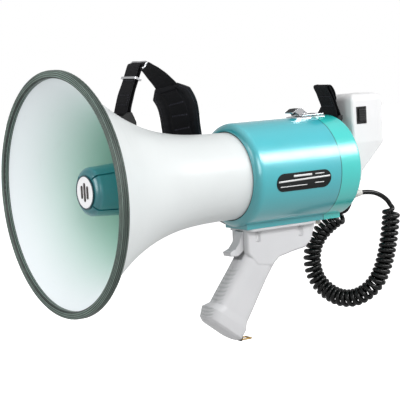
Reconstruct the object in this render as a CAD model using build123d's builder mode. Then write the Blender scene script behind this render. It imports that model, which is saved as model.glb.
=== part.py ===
from build123d import *
import math
import os

os.makedirs("parts", exist_ok=True)

# Handheld megaphone, in millimetres. +Z is up, the horn's mouth faces -Y, and +X is the side
# with the nameplate. The origin is the middle of the hand grip.

# ---- driving dimensions -------------------------------------------------------------------
GRIP_TO_MOUTH = 250.0    # the mouth plane lies this far ahead of the grip's middle
GRIP_TO_AXIS = 140.0     # the horn axis lies this far above the grip's middle

MOUTH_R = 142.0          # over the rubber rim
RIM_INNER_R = 132.8
RIM_DEPTH = 10.0
BELL_WALL = 2.4          # measured along the radius
NECK_R = 53.4            # horn neck where it enters the body
BELL_BACK = 252.0

REFLECTOR_FRONT = 37.0   # closed front of the reflector cup, behind the mouth plane
REFLECTOR_BACK = 165.0
REFLECTOR_FRONT_R = 28.5
REFLECTOR_BACK_R = 36.0
REFLECTOR_WALL = 2.0
BADGE_R = 19.8
THROAT_R = 13.0
THROAT_BORE_R = 11.5

BODY_R = 64.0
BODY_WALL = 2.5
BODY_FRONT = 235.0
SEAM = 363.0             # joint between body shell and rear cover
SEAM_GAP = 0.3
COVER_BACK = 396.0
PAD_HALF = 23.0          # flat underside of body and cover
PAD_Z = -65.8

HINGE_BACK = 363.2       # rear cover hinge axis, under the seam
HINGE_Z = -69.3
KNUCKLE_R = 3.0
HINGE_PIN_R = 1.5
RUNNING_GAP = 0.05       # radial clearance of a pin that turns

LATCH_PIVOT = (354.0, 68.0)      # (behind the mouth, above the axis)
BAIL_PIVOT = (347.0, 66.5)
BAIL_REACH = 32.0
WIRE_R = 1.0

MIC_HALF = 24.0
MIC_FRONT = 417.0
MIC_BACK = 468.0
MIC_TOP = 88.0
MIC_WALL = 2.2
STUD_Z = 28.0            # hanger stud height above the horn axis

CORD_R = 3.0
COIL_R = 12.0            # outside of the curly cord's turns
WEB_HALF = 13.5          # half the strap webbing's width

# ---- frame helpers ------------------------------------------------------------------------


def spot(x, back, up):
    """The point x to the right, back behind the mouth plane and up above the horn axis."""
    return (x, back - GRIP_TO_MOUTH, up + GRIP_TO_AXIS)


HORN_AXIS = Axis(spot(0, 0, 0), (0, 1, 0))
SIDE = Plane(origin=spot(0, 0, 0), x_dir=(0, 1, 0), z_dir=(1, 0, 0))   # local x back, local y up


def radial(angle=0.0):
    """Half plane through the horn axis: local x is the radius, local y runs back."""
    turn = math.radians(angle)
    return Plane(
        origin=spot(0, 0, 0),
        x_dir=(math.sin(turn), 0, math.cos(turn)),
        z_dir=(-math.cos(turn), 0, math.sin(turn)),
    )


def across(back):
    """Cross-section plane facing the mouth; a negative extrusion runs backwards."""
    return Plane(origin=spot(0, back, 0), x_dir=(1, 0, 0), z_dir=(0, -1, 0))


def level(up):
    """Horizontal plane: local x to the right, local y back from the mouth."""
    return Plane(origin=spot(0, 0, up), x_dir=(1, 0, 0), z_dir=(0, 0, 1))


def ring(front, back, inner, outer, x=0.0, up=0.0, mode=Mode.ADD):
    """Turned disc or ring along Y, added to the part being built."""
    with BuildSketch(across(front)) as face:
        with Locations((x, up)):
            Circle(outer)
            if inner > 0:
                Circle(inner, mode=Mode.SUBTRACT)
    extrude(face.sketch, amount=front - back, mode=mode)


def block(x, back, up, mode=Mode.ADD):
    """Box between the (low, high) pairs x, back and up, added to the part being built."""
    with BuildSketch(across(back[0])) as face:
        with Locations(((x[0] + x[1]) / 2, (up[0] + up[1]) / 2)):
            Rectangle(x[1] - x[0], up[1] - up[0])
    extrude(face.sketch, amount=back[0] - back[1], mode=mode)


def rod(back, up, radius, half, mode=Mode.ADD):
    """Round bar along X, from -half to +half."""
    with BuildSketch(SIDE) as face:
        with Locations((back, up)):
            Circle(radius)
    extrude(face.sketch, amount=half, both=True, mode=mode)


def bar(back, up, radius, low, high, mode=Mode.ADD):
    """Round bar along X, from low to high."""
    with BuildSketch(SIDE.offset(low)) as face:
        with Locations((back, up)):
            Circle(radius)
    extrude(face.sketch, amount=high - low, mode=mode)


def save(piece, name):
    piece.part.label = name
    export_step(piece.part, f"parts/{name}.step")


# ---- horn: bell, rim, reflector and badge ---------------------------------------------------
BELL = (
    (137.0, 4.0),
    (110.5, 40.0),
    (84.5, 80.0),
    (66.8, 120.0),
    (57.2, 160.0),
    (53.9, 200.0),
    (NECK_R, 240.0),
)
BELL_FLANGE_R = 60.5
BELL_FLANGE = 2.5


def bell_radius(back):
    """Outer radius of the bell, straight between the outline's points."""
    for (r0, b0), (r1, b1) in zip(BELL, BELL[1:]):
        if b0 <= back <= b1:
            return r0 + (r1 - r0) * (back - b0) / (b1 - b0)
    return NECK_R


with BuildPart() as horn_bell:
    with BuildSketch(radial()):
        with BuildLine():
            outside = Spline(*BELL)
            neck = Polyline(
                BELL[-1],
                (NECK_R, BELL_BACK - BELL_FLANGE),
                (BELL_FLANGE_R, BELL_BACK - BELL_FLANGE),
                (BELL_FLANGE_R, BELL_BACK),
                (NECK_R - BELL_WALL, BELL_BACK),
                (NECK_R - BELL_WALL, BELL[-1][1]),
            )
            inside = Spline(*[(r - BELL_WALL, b) for r, b in reversed(BELL)])
            Line(inside @ 1, outside @ 0)
        make_face()
    revolve(axis=HORN_AXIS)
save(horn_bell, "horn_bell")

RIB_COUNT = 3
RIB_PITCH = 2.1
FACE_RIB_PITCH = 2.3
with BuildPart() as mouth_rim:
    with BuildSketch(radial()):
        with Locations(((MOUTH_R + RIM_INNER_R) / 2, RIM_DEPTH / 2)):
            RectangleRounded(MOUTH_R - RIM_INNER_R, RIM_DEPTH, 2.4)
        with Locations(*[(MOUTH_R, RIM_DEPTH / 2 + RIB_PITCH * (i - 1)) for i in range(RIB_COUNT)]):
            Rectangle(1.2, 0.8, mode=Mode.SUBTRACT)
        with Locations(*[(RIM_INNER_R + FACE_RIB_PITCH * (i + 1), 0) for i in range(RIB_COUNT)]):
            Rectangle(0.8, 1.4, mode=Mode.SUBTRACT)
    revolve(axis=HORN_AXIS)
    add(horn_bell.part, mode=Mode.SUBTRACT)
save(mouth_rim, "mouth_rim")

FRONT_ROUND = 8.0
TAPER = (REFLECTOR_BACK_R - REFLECTOR_FRONT_R) / (REFLECTOR_BACK - REFLECTOR_FRONT - FRONT_ROUND)


def cup(inset, front, back, mode):
    """Solid of the reflector cup's form, drawn inset from its outer skin."""
    corner = REFLECTOR_FRONT_R - inset
    start = front + FRONT_ROUND
    with BuildSketch(radial()) as face:
        with BuildLine():
            nose = Line((0, front), (corner - FRONT_ROUND, front))
            bend = TangentArc(nose @ 1, (corner, start), tangent=(1, 0))
            Polyline(bend @ 1, (REFLECTOR_BACK_R - inset, back), (0, back), (0, front))
        make_face()
    revolve(face.sketch, axis=HORN_AXIS, mode=mode)


GROOVE_DEPTH = 1.6
with BuildPart() as horn_reflector:
    cup(0, REFLECTOR_FRONT, REFLECTOR_BACK, Mode.ADD)
    cup(REFLECTOR_WALL, REFLECTOR_FRONT + REFLECTOR_WALL, REFLECTOR_BACK + 1, Mode.SUBTRACT)
    for corner in range(4):
        with BuildSketch(radial(45 + 90 * corner)):
            with BuildLine():
                bottom = REFLECTOR_FRONT + GROOVE_DEPTH
                Polyline(
                    (BADGE_R + 1.5, REFLECTOR_FRONT - 1),
                    (BADGE_R + 1.5, bottom),
                    (BADGE_R + 2.6, bottom + 0.6),
                    (REFLECTOR_FRONT_R - GROOVE_DEPTH, REFLECTOR_FRONT + FRONT_ROUND),
                    (REFLECTOR_BACK_R - GROOVE_DEPTH, REFLECTOR_BACK + 1),
                    (REFLECTOR_BACK_R + 4, REFLECTOR_BACK + 1),
                    (REFLECTOR_BACK_R + 4, REFLECTOR_FRONT - 1),
                    close=True,
                )
            make_face()
        extrude(amount=1.1, both=True, mode=Mode.SUBTRACT)
save(horn_reflector, "horn_reflector")

BADGE_FRONT = 35.2
BADGE_RIM = 1.5
with BuildPart() as badge_disc:
    ring(BADGE_FRONT + 0.4, REFLECTOR_FRONT, 0, BADGE_R - BADGE_RIM)
save(badge_disc, "badge_disc")

with BuildPart() as badge_ring:
    ring(BADGE_FRONT, REFLECTOR_FRONT, BADGE_R - BADGE_RIM, BADGE_R)
save(badge_ring, "badge_ring")

THROAT_FRONT = 68.0
SPIDER_FRONT = 110.0
SPIDER_BACK = 122.0
SPIDER_REACH = REFLECTOR_FRONT_R + TAPER * (SPIDER_FRONT - REFLECTOR_FRONT - FRONT_ROUND) - 1.0
with BuildPart() as throat_tube:
    with BuildSketch(across(SPIDER_FRONT)):
        Circle(THROAT_R + 2)
        Rectangle(2 * SPIDER_REACH, 2.4)
        Rectangle(2.4, 2 * SPIDER_REACH)
    extrude(amount=SPIDER_FRONT - SPIDER_BACK)
    ring(THROAT_FRONT, BELL_BACK, 0, THROAT_R)
    ring(THROAT_FRONT, BELL_BACK, 0, THROAT_BORE_R, mode=Mode.SUBTRACT)
    add(horn_reflector.part, mode=Mode.SUBTRACT)
save(throat_tube, "throat_tube")

PLATE_BACK = BELL_BACK + 3.0
# ---- driver unit behind the horn ------------------------------------------------------------
ADAPTER_BACK = PLATE_BACK + 10.0
with BuildPart() as throat_flange:
    ring(BELL_BACK, PLATE_BACK, 0, BELL_FLANGE_R)
    ring(PLATE_BACK, ADAPTER_BACK, 0, 38)
    ring(BELL_BACK, PLATE_BACK, 0, THROAT_BORE_R, mode=Mode.SUBTRACT)
    with BuildSketch(radial()):
        with BuildLine():
            Polyline(
                (0, PLATE_BACK),
                (THROAT_BORE_R, PLATE_BACK),
                (19, ADAPTER_BACK),
                (0, ADAPTER_BACK),
                close=True,
            )
        make_face()
    revolve(axis=HORN_AXIS, mode=Mode.SUBTRACT)
    with BuildSketch(across(BELL_BACK)):
        with PolarLocations(56.5, 6):
            Circle(1.7)
    extrude(amount=BELL_BACK - PLATE_BACK, mode=Mode.SUBTRACT)
    with BuildSketch(radial()):
        with BuildLine():
            tip = (0, PLATE_BACK + 0.5)
            ThreePointArc(tip, (5.2, PLATE_BACK + 3.2), (8.5, PLATE_BACK + 8))
            Polyline((8.5, PLATE_BACK + 8), (0, PLATE_BACK + 8), tip)
        make_face()
    revolve(axis=HORN_AXIS)
    with BuildSketch(across(PLATE_BACK + 5)):
        Rectangle(32, 1.6)
        Rectangle(1.6, 32)
    extrude(amount=-2)
save(throat_flange, "throat_flange")

DIAPHRAGM_T = 0.8
GAP_BACK = ADAPTER_BACK + DIAPHRAGM_T
DOME_R = 16.8
with BuildPart() as driver_diaphragm:
    ring(ADAPTER_BACK, ADAPTER_BACK + DIAPHRAGM_T, DOME_R, 30)
    with BuildSketch(radial()):
        with BuildLine():
            back = ADAPTER_BACK + DIAPHRAGM_T
            face = ThreePointArc((DOME_R, ADAPTER_BACK), (9.4, back + 2.6), (0, back + 3.8))
            Line(face @ 1, (0, back + 4.6))
            rear = ThreePointArc((0, back + 4.6), (9.4, back + 3.5), (DOME_R, back))
            Line(rear @ 1, face @ 0)
        make_face()
    revolve(axis=HORN_AXIS)
    ring(GAP_BACK - 0.2, GAP_BACK + 8, 16.9, 17.7)
save(driver_diaphragm, "driver_diaphragm")

with BuildPart() as driver_top_plate:
    ring(GAP_BACK, GAP_BACK + 5, 18.3, 34)
save(driver_top_plate, "driver_top_plate")

with BuildPart() as driver_magnet:
    ring(GAP_BACK + 5, GAP_BACK + 19, 22, 34)
save(driver_magnet, "driver_magnet")

with BuildPart() as driver_yoke:
    ring(GAP_BACK + 19, GAP_BACK + 24, 0, 34)
    ring(GAP_BACK + 6, GAP_BACK + 19, 0, 16.2)
save(driver_yoke, "driver_yoke")

CAN_BACK = GAP_BACK + 26
with BuildPart() as driver_can:
    ring(ADAPTER_BACK, CAN_BACK, 0, 38)
    ring(ADAPTER_BACK, CAN_BACK - 2, 0, 36, mode=Mode.SUBTRACT)
save(driver_can, "driver_can")

# ---- body shell, rear cover and seals -------------------------------------------------------
NECK_SEAL_R = 54.8


def pad(front, back):
    """Flat strip along the underside, hollowed to the bore."""
    block((-PAD_HALF, PAD_HALF), (front, back), (PAD_Z, -BODY_R + 8))
    ring(front, back, 0, BODY_R - BODY_WALL, mode=Mode.SUBTRACT)


SADDLE_SCREWS = ((265.0, -19.5), (265.0, 19.5), (331.0, -19.5), (331.0, 19.5))
SCREW_R = 1.6

with BuildPart() as body_shell:
    pad(BODY_FRONT + 10, SEAM)
    with BuildSketch(radial()):
        with BuildLine():
            lip = Line((NECK_SEAL_R, BODY_FRONT), (NECK_SEAL_R + 1.4, BODY_FRONT))
            shoulder = ThreePointArc(lip @ 1, (61.5, BODY_FRONT + 4.2), (BODY_R, BODY_FRONT + 12))
            Polyline(
                shoulder @ 1,
                (BODY_R, SEAM),
                (BODY_R - BODY_WALL, SEAM),
                (BODY_R - BODY_WALL, BODY_FRONT + 14),
                (NECK_SEAL_R, BODY_FRONT + 7),
                lip @ 0,
            )
        make_face()
    revolve(axis=HORN_AXIS)
    with BuildSketch(level(PAD_Z)):
        with Locations(*[(x, back) for back, x in SADDLE_SCREWS]):
            Circle(SCREW_R)
    extrude(amount=8, mode=Mode.SUBTRACT)
save(body_shell, "body_shell")

with BuildPart() as neck_seal:
    ring(BODY_FRONT + 0.5, BODY_FRONT + 7, NECK_R, NECK_SEAL_R)
    add(horn_bell.part, mode=Mode.SUBTRACT)
save(neck_seal, "neck_seal")

GLAND = (40.0, -35.5)            # cord gland on the rear face (x, above the axis)
KNOB = (-38.0, 8.0)              # volume knob on the rear face
COVER_FRONT = SEAM + SEAM_GAP
EDGE_ROUND = 4.0

with BuildPart() as rear_cover:
    pad(COVER_FRONT, COVER_BACK - 6)
    with BuildSketch(radial()):
        with BuildLine():
            wall = Line((BODY_R, COVER_FRONT), (BODY_R, COVER_BACK - EDGE_ROUND))
            edge = TangentArc(wall @ 1, (BODY_R - EDGE_ROUND, COVER_BACK), tangent=(0, 1))
            inner_r = BODY_R - BODY_WALL
            inner_back = COVER_BACK - BODY_WALL
            Polyline(
                edge @ 1,
                (0, COVER_BACK),
                (0, inner_back),
                (inner_r, inner_back),
                (inner_r, COVER_FRONT),
                wall @ 0,
            )
        make_face()
    revolve(axis=HORN_AXIS)
    with BuildSketch(across(COVER_BACK - 4)):
        with Locations(GLAND):
            Circle(4.0)
        with Locations(KNOB):
            Circle(3.4)
    extrude(amount=-5, mode=Mode.SUBTRACT)
save(rear_cover, "rear_cover")

with BuildPart() as cover_gasket:
    ring(SEAM - 4, SEAM - 0.2, BODY_R - BODY_WALL - 1.8, BODY_R - BODY_WALL)
save(cover_gasket, "cover_gasket")

LABEL_MIDDLE = (304.5, -9.0)
LABEL_T = 0.6


def side_label(length, height, low, high):
    """Round-ended plate wrapped on the body's right side, between the radii low and high."""
    with BuildSketch(SIDE.offset(45)) as face:
        with Locations(LABEL_MIDDLE):
            SlotOverall(length, height)
    extrude(face.sketch, amount=30)
    ring(SEAM - 105, SEAM, low, high, mode=Mode.INTERSECT)


with BuildPart() as nameplate:
    side_label(83, 22, BODY_R, BODY_R + LABEL_T)
save(nameplate, "nameplate")

# ---- hinge under the seam ---------------------------------------------------------------------
KNUCKLE = 6.2
KNUCKLE_PITCH = 6.6
KNUCKLE_STARTS = [-2 * KNUCKLE_PITCH + 0.2 + KNUCKLE_PITCH * i for i in range(4)]
LEAF_HALF = 13.2
LEAF_T = 1.5
LEAF_CLEAR = KNUCKLE_R + 0.5


def hinge_leaf(first, direction, reach, bore):
    """Leaf with two knuckles; direction is -1 for the body's leaf and +1 for the cover's."""
    near = HINGE_BACK + direction * LEAF_CLEAR
    far = HINGE_BACK + direction * reach
    leaf_up = (PAD_Z - LEAF_T, PAD_Z)
    block((-LEAF_HALF, LEAF_HALF), (min(near, far), max(near, far)), leaf_up)
    for start in KNUCKLE_STARTS[first::2]:
        bar(HINGE_BACK, HINGE_Z, KNUCKLE_R, start, start + KNUCKLE)
        tab = (min(near, HINGE_BACK), max(near, HINGE_BACK))
        block((start, start + KNUCKLE), tab, (HINGE_Z + 1, PAD_Z - 0.2))
    rod(HINGE_BACK, HINGE_Z, bore, 20, mode=Mode.SUBTRACT)


with BuildPart() as hinge_body_leaf:
    hinge_leaf(0, -1, 8.8, HINGE_PIN_R)
save(hinge_body_leaf, "hinge_body_leaf")

with BuildPart() as hinge_cover_leaf:
    hinge_leaf(1, 1, 18.0, HINGE_PIN_R + RUNNING_GAP)
save(hinge_cover_leaf, "hinge_cover_leaf")

with BuildPart() as hinge_pin:
    rod(HINGE_BACK, HINGE_Z, HINGE_PIN_R, 13.6)
save(hinge_pin, "hinge_pin")

# ---- draw latch across the seam, on top ---------------------------------------------------------
LEVER_HALF = 8.0
EAR_T = 1.4
EAR_INNER = LEVER_HALF + 0.3
LATCH_PIN_R = 1.2
BAIL_HALF = 11.6

with BuildPart() as latch_base:
    block((-11, 11), (338, 361), (BODY_R - 3, BODY_R + 1.0))
    ring(330, 365, 0, BODY_R, mode=Mode.SUBTRACT)
    for side in (-1, 1):
        low = min(side * EAR_INNER, side * (EAR_INNER + EAR_T))
        with BuildSketch(SIDE.offset(low)):
            with Locations(LATCH_PIVOT):
                Circle(2.6)
            with Locations((LATCH_PIVOT[0], BODY_R + 1.8)):
                Rectangle(5.2, 3.6)
        extrude(amount=EAR_T)
    ring(330, 365, 0, BODY_R, mode=Mode.SUBTRACT)
    rod(*LATCH_PIVOT, LATCH_PIN_R, EAR_INNER + EAR_T + 0.6)
save(latch_base, "latch_base")

with BuildPart() as latch_lever:
    with BuildSketch(SIDE):
        with BuildLine():
            Polyline(
                (333.5, 70.6),
                (341.5, 74.8),
                (348.5, 75.2),
                (352.4, 72.8),
                (354.6, 70.2),
                (354.8, 69.0),
                (353.2, 69.2),
                (351.6, 71.6),
                (348.1, 73.8),
                (341.9, 73.4),
                (334.1, 69.4),
                close=True,
            )
        make_face()
    extrude(amount=LEVER_HALF, both=True)
    for side in (-1, 1):
        low = min(side * LEVER_HALF, side * (LEVER_HALF - 1.2))
        with BuildSketch(SIDE.offset(low)):
            with BuildLine():
                Polyline(
                    (337.2, 71.6),
                    (341.7, 74.0),
                    (348.3, 74.4),
                    (352.0, 72.2),
                    (354.0, 69.9),
                    (354.0, 65.6),
                    (345.6, 65.6),
                    (343.6, 67.6),
                    close=True,
                )
            make_face()
            with Locations(LATCH_PIVOT):
                Circle(2.4)
        extrude(amount=1.2)
    rod(*LATCH_PIVOT, LATCH_PIN_R + RUNNING_GAP, 15, mode=Mode.SUBTRACT)
    rod(*BAIL_PIVOT, WIRE_R + 0.1, 15, mode=Mode.SUBTRACT)
save(latch_lever, "latch_lever")

with BuildPart() as latch_bail:
    for side in (-1, 1):
        tip = LEVER_HALF - 1.6
        bar(*BAIL_PIVOT, WIRE_R, min(side * tip, side * BAIL_HALF), max(side * tip, side * BAIL_HALF))
        with BuildSketch(across(BAIL_PIVOT[0])):
            with Locations((side * BAIL_HALF, BAIL_PIVOT[1])):
                Circle(WIRE_R)
        extrude(amount=-BAIL_REACH)
        for corner in (BAIL_PIVOT[0], BAIL_PIVOT[0] + BAIL_REACH):
            with Locations(spot(side * BAIL_HALF, corner, BAIL_PIVOT[1])):
                Sphere(WIRE_R)
    rod(BAIL_PIVOT[0] + BAIL_REACH, BAIL_PIVOT[1], WIRE_R, BAIL_HALF)
save(latch_bail, "latch_bail")

with BuildPart() as latch_keeper:
    block((-9, 9), (367.5, 384), (BODY_R - 3, BODY_R + 0.8))
    with BuildSketch(SIDE):
        with BuildLine():
            Polyline(
                (370.5, 63.5),
                (373.0, 67.4),
                (374.2, 67.3),
                (378.4, 65.25),
                (378.4, 63.5),
                close=True,
            )
        make_face()
    extrude(amount=7, both=True)
    ring(366, 386, 0, BODY_R, mode=Mode.SUBTRACT)
save(latch_keeper, "latch_keeper")

# ---- electronics and batteries inside the body ---------------------------------------------------
BOARD_BACK = 298.6
with BuildPart() as amplifier_board:
    ring(297, BOARD_BACK, 0, 52)
    with BuildSketch(across(297)):
        with PolarLocations(47, 4, 45):
            Circle(1.7)
    extrude(amount=-3, mode=Mode.SUBTRACT)
save(amplifier_board, "amplifier_board")

with BuildPart() as amplifier_parts:
    block((-30, -4), (BOARD_BACK, BOARD_BACK + 11), (-34, -12))
    block((-25, -9), (BOARD_BACK, BOARD_BACK + 12), (-38, -8))
    for x, up, radius in ((-24, 16, 6.2), (-9, 20, 5.0), (6, 24, 5.0), (-16, 32, 4.0)):
        ring(BOARD_BACK, BOARD_BACK + 12, 0, radius, x, up)
    block((12, 40), (BOARD_BACK, BOARD_BACK + 12), (-8, -5.5))
    for fin in range(7):
        start = 12 + 4.3 * fin
        block((start, start + 1.4), (BOARD_BACK, BOARD_BACK + 12), (-5.5, 6))
    for left in (14.0, 28.0):
        block((left, left + 10), (BOARD_BACK, BOARD_BACK + 11), (-12.5, -8))
save(amplifier_parts, "amplifier_parts")

BULKHEAD = 313.0
with BuildPart() as bulkhead:
    ring(BULKHEAD, BULKHEAD + 2.5, 4, BODY_R - BODY_WALL)
save(bulkhead, "bulkhead")

CELL_R = 13.1
CELL_RING = 30.0
CELL_FRONT = 321.0
CELL_LENGTH = 50.0
with BuildPart() as battery_cassette:
    ring(BULKHEAD + 2.5, CELL_FRONT - 1, 0, 46)
    ring(CELL_FRONT + CELL_LENGTH + 1, CELL_FRONT + CELL_LENGTH + 4, 0, 46)
    ring(CELL_FRONT - 1, CELL_FRONT + CELL_LENGTH + 1, 5, 12)
    with BuildSketch(across(CELL_FRONT - 1)):
        with PolarLocations(43.5, 6, 30):
            Circle(2.2)
    extrude(amount=-CELL_LENGTH - 2)
save(battery_cassette, "battery_cassette")

with BuildPart() as battery_cells:
    with BuildSketch(across(CELL_FRONT)):
        with PolarLocations(CELL_RING, 6):
            Circle(CELL_R)
    extrude(amount=-CELL_LENGTH + 1.5)
    with BuildSketch(across(CELL_FRONT + CELL_LENGTH - 1.5)):
        with PolarLocations(CELL_RING, 6):
            Circle(3.3)
    extrude(amount=-1.5)
save(battery_cells, "battery_cells")

# ---- rear face: volume control, cord gland, strap lug, microphone holder --------------------------
with BuildPart() as volume_pot:
    ring(COVER_BACK - 14, COVER_BACK - 4, 0, 8, *KNOB)
    ring(COVER_BACK - 4, COVER_BACK - BODY_WALL, 3.4, 8, *KNOB)
save(volume_pot, "volume_pot")

KNOB_FRONT = COVER_BACK + 0.5
with BuildPart() as volume_knob:
    ring(KNOB_FRONT, KNOB_FRONT + 10, 0, 8.5, *KNOB)
    chamfer(volume_knob.faces().sort_by(Axis.Y)[-1].edges(), 0.8)
    with BuildSketch(across(KNOB_FRONT)):
        with Locations(KNOB):
            with PolarLocations(8.6, 18):
                Circle(0.55)
    extrude(amount=-10, mode=Mode.SUBTRACT)
    ring(COVER_BACK - 3.5, KNOB_FRONT, 0, 3.0, *KNOB)
save(volume_knob, "volume_knob")

GLAND_BACK = 412.0
with BuildPart() as cord_gland:
    ring(COVER_BACK - 3, COVER_BACK, CORD_R, 4.0, *GLAND)
    with BuildSketch(across(COVER_BACK)):
        with Locations(GLAND):
            RegularPolygon(6.3, 6)
            Circle(CORD_R, mode=Mode.SUBTRACT)
    extrude(amount=-5)
    ring(COVER_BACK + 5, COVER_BACK + 9, CORD_R, 5.2, *GLAND)
    with BuildSketch(across(COVER_BACK + 9)) as wide_end:
        with Locations(GLAND):
            Circle(4.8)
    with BuildSketch(across(GLAND_BACK)) as narrow_end:
        with Locations(GLAND):
            Circle(3.7)
    loft()
    ring(COVER_BACK + 9, GLAND_BACK, 0, CORD_R, *GLAND, mode=Mode.SUBTRACT)
save(cord_gland, "cord_gland")

REAR_BAR = (404.0, 60.0)
BAR_R = 1.8
with BuildPart() as rear_strap_lug:
    block((-17, 17), (COVER_BACK, COVER_BACK + 2), (45, 56))
    for side in (-1, 1):
        low = min(side * 14.6, side * 17)
        with BuildSketch(SIDE.offset(low)):
            with BuildLine():
                Polyline(
                    (COVER_BACK, 45),
                    (COVER_BACK + 2, 45),
                    (REAR_BAR[0] + 2.6, REAR_BAR[1] - 2),
                    (REAR_BAR[0] + 2.6, REAR_BAR[1] + 2.6),
                    (REAR_BAR[0] - 2.6, REAR_BAR[1] + 2.6),
                    (COVER_BACK, 57),
                    close=True,
                )
            make_face()
        extrude(amount=2.4)
    rod(*REAR_BAR, BAR_R, 17)
save(rear_strap_lug, "rear_strap_lug")

HOLDER_TOP = 40.0
HOLDER_BOTTOM = 12.0
SLOT_HALF = 3.4
with BuildPart() as mic_holder:
    block((-14, 14), (COVER_BACK, COVER_BACK + 2), (HOLDER_BOTTOM, HOLDER_TOP))
    for side in (-1, 1):
        edge = (min(side * 11.5, side * 14), max(side * 11.5, side * 14))
        block(edge, (COVER_BACK + 2, COVER_BACK + 7.5), (HOLDER_BOTTOM, HOLDER_TOP))
    block((-14, 14), (COVER_BACK + 7.5, COVER_BACK + 10.5), (HOLDER_BOTTOM, HOLDER_TOP))
    with BuildSketch(across(COVER_BACK + 6)):
        with Locations((0, STUD_Z)):
            Circle(SLOT_HALF)
        with Locations((0, STUD_Z + 10)):
            Rectangle(2 * SLOT_HALF, 20)
    extrude(amount=-6, mode=Mode.SUBTRACT)
save(mic_holder, "mic_holder")

# ---- hand microphone ---------------------------------------------------------------------------
MIC_SPLIT = 457.0
MIC_OUTLINE = (
    (MIC_FRONT, MIC_TOP),
    (MIC_BACK, MIC_TOP),
    (MIC_BACK, 24.0),
    (436.0, -10.0),
    (434.0, -24.0),
    (420.0, -24.0),
    (MIC_FRONT, -12.0),
)
MIC_FOOT_HALF = 17.0
MIC_CROWN_R = 9.0        # rounding round the flat top


def mic_form(inset, rounding):
    """The microphone's outer form, drawn inset from its skin."""
    with BuildSketch(SIDE) as outline:
        with BuildLine():
            Polyline(*MIC_OUTLINE, close=True)
        make_face()
        if inset > 0:
            offset(amount=-inset, kind=Kind.INTERSECTION)
    extrude(outline.sketch, amount=MIC_HALF - inset, both=True)
    for side in (-1, 1):
        with BuildSketch(across(MIC_FRONT - 1)) as wedge:
            with BuildLine():
                Polyline(
                    (side * (MIC_HALF - inset), 26),
                    (side * (MIC_FOOT_HALF - inset), -26),
                    (side * (MIC_HALF + 9), -26),
                    (side * (MIC_HALF + 9), 26),
                    close=True,
                )
            make_face()
        extrude(wedge.sketch, amount=-60, mode=Mode.SUBTRACT)
    crown = edges().filter_by(lambda e: e.center().Z > GRIP_TO_AXIS + MIC_TOP - inset - 0.5)
    fillet(crown, MIC_CROWN_R - inset)
    if rounding > 0:
        fillet(edges().filter_by(lambda e: e.center().Z < GRIP_TO_AXIS + MIC_TOP - MIC_CROWN_R), rounding)


WINDOW = ((425.0, 438.0), (51.5, 70.5))
GRILLE_Z = 48.0
GRILLE_R = 14.0


def mic_shell():
    """Hollow microphone case with its openings cut."""
    mic_form(0, 3.5)
    add(mic_void.part, mode=Mode.SUBTRACT)
    block((MIC_HALF - 4, MIC_HALF + 1), *WINDOW, mode=Mode.SUBTRACT)
    ring(MIC_BACK - 5, MIC_BACK + 1, 0, GRILLE_R, 0, GRILLE_Z, mode=Mode.SUBTRACT)


with BuildPart() as mic_void:
    mic_form(MIC_WALL, 0)

with BuildPart() as mic_front_case:
    mic_shell()
    block((-40, 40), (MIC_SPLIT, MIC_BACK + 5), (-60, 100), mode=Mode.SUBTRACT)
save(mic_front_case, "mic_front_case")

with BuildPart() as mic_rear_case:
    mic_shell()
    block((-40, 40), (MIC_FRONT - 5, MIC_SPLIT), (-60, 100), mode=Mode.SUBTRACT)
save(mic_rear_case, "mic_rear_case")

with BuildPart() as mic_grille:
    ring(MIC_BACK - 2.2, MIC_BACK + 0.6, 0, GRILLE_R, 0, GRILLE_Z)
    with BuildSketch(across(MIC_BACK - 3)):
        with Locations((0, GRILLE_Z)):
            for row in range(-4, 5):
                length = 2 * math.sqrt((GRILLE_R - 2.2) ** 2 - (row * 2.6) ** 2)
                with Locations((0, row * 2.6)):
                    SlotOverall(length, 1.3)
    extrude(amount=-5, mode=Mode.SUBTRACT)
save(mic_grille, "mic_grille")

with BuildPart() as mic_capsule:
    ring(MIC_BACK - 12, MIC_BACK - 2.2, 0, 11, 0, GRILLE_Z)
save(mic_capsule, "mic_capsule")

with BuildPart() as mic_hanger_stud:
    ring(COVER_BACK + 3, COVER_BACK + 6.6, 0, 6.5, 0, STUD_Z)
    ring(COVER_BACK + 6.6, MIC_FRONT - 1.5, 0, 2.9, 0, STUD_Z)
    ring(MIC_FRONT - 1.5, MIC_FRONT, 0, 8, 0, STUD_Z)
save(mic_hanger_stud, "mic_hanger_stud")

BEZEL_LIP = 1.4
with BuildPart() as talk_bezel:
    back_range = (WINDOW[0][0] - BEZEL_LIP, WINDOW[0][1] + BEZEL_LIP)
    up_range = (WINDOW[1][0] - BEZEL_LIP, WINDOW[1][1] + BEZEL_LIP)
    block((MIC_HALF, MIC_HALF + 0.8), back_range, up_range)
    block((MIC_HALF - 4, MIC_HALF), *WINDOW)
    inner = ((WINDOW[0][0] + 1, WINDOW[0][1] - 1), (WINDOW[1][0] + 1, WINDOW[1][1] - 1))
    block((MIC_HALF - 5, MIC_HALF + 2), *inner, mode=Mode.SUBTRACT)
save(talk_bezel, "talk_bezel")

with BuildPart() as talk_button:
    face_back = (WINDOW[0][0] + 1.4, WINDOW[0][1] - 1.4)
    face_up = (WINDOW[1][0] + 1.4, WINDOW[1][1] - 1.4)
    block((MIC_HALF - 4.5, MIC_HALF + 2.4), face_back, face_up)
    fillet(talk_button.faces().sort_by(Axis.X)[-1].edges(), 0.9)
    for step in range(4):
        middle = WINDOW[1][0] + 5 + 3 * step
        block((MIC_HALF + 1.9, MIC_HALF + 3), (WINDOW[0][0], WINDOW[0][1]), (middle - 0.5, middle + 0.5),
              mode=Mode.SUBTRACT)
save(talk_button, "talk_button")

with BuildPart() as talk_switch:
    block((7, MIC_HALF - 8), (427, 436), (53, 69))
save(talk_switch, "talk_switch")

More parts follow.
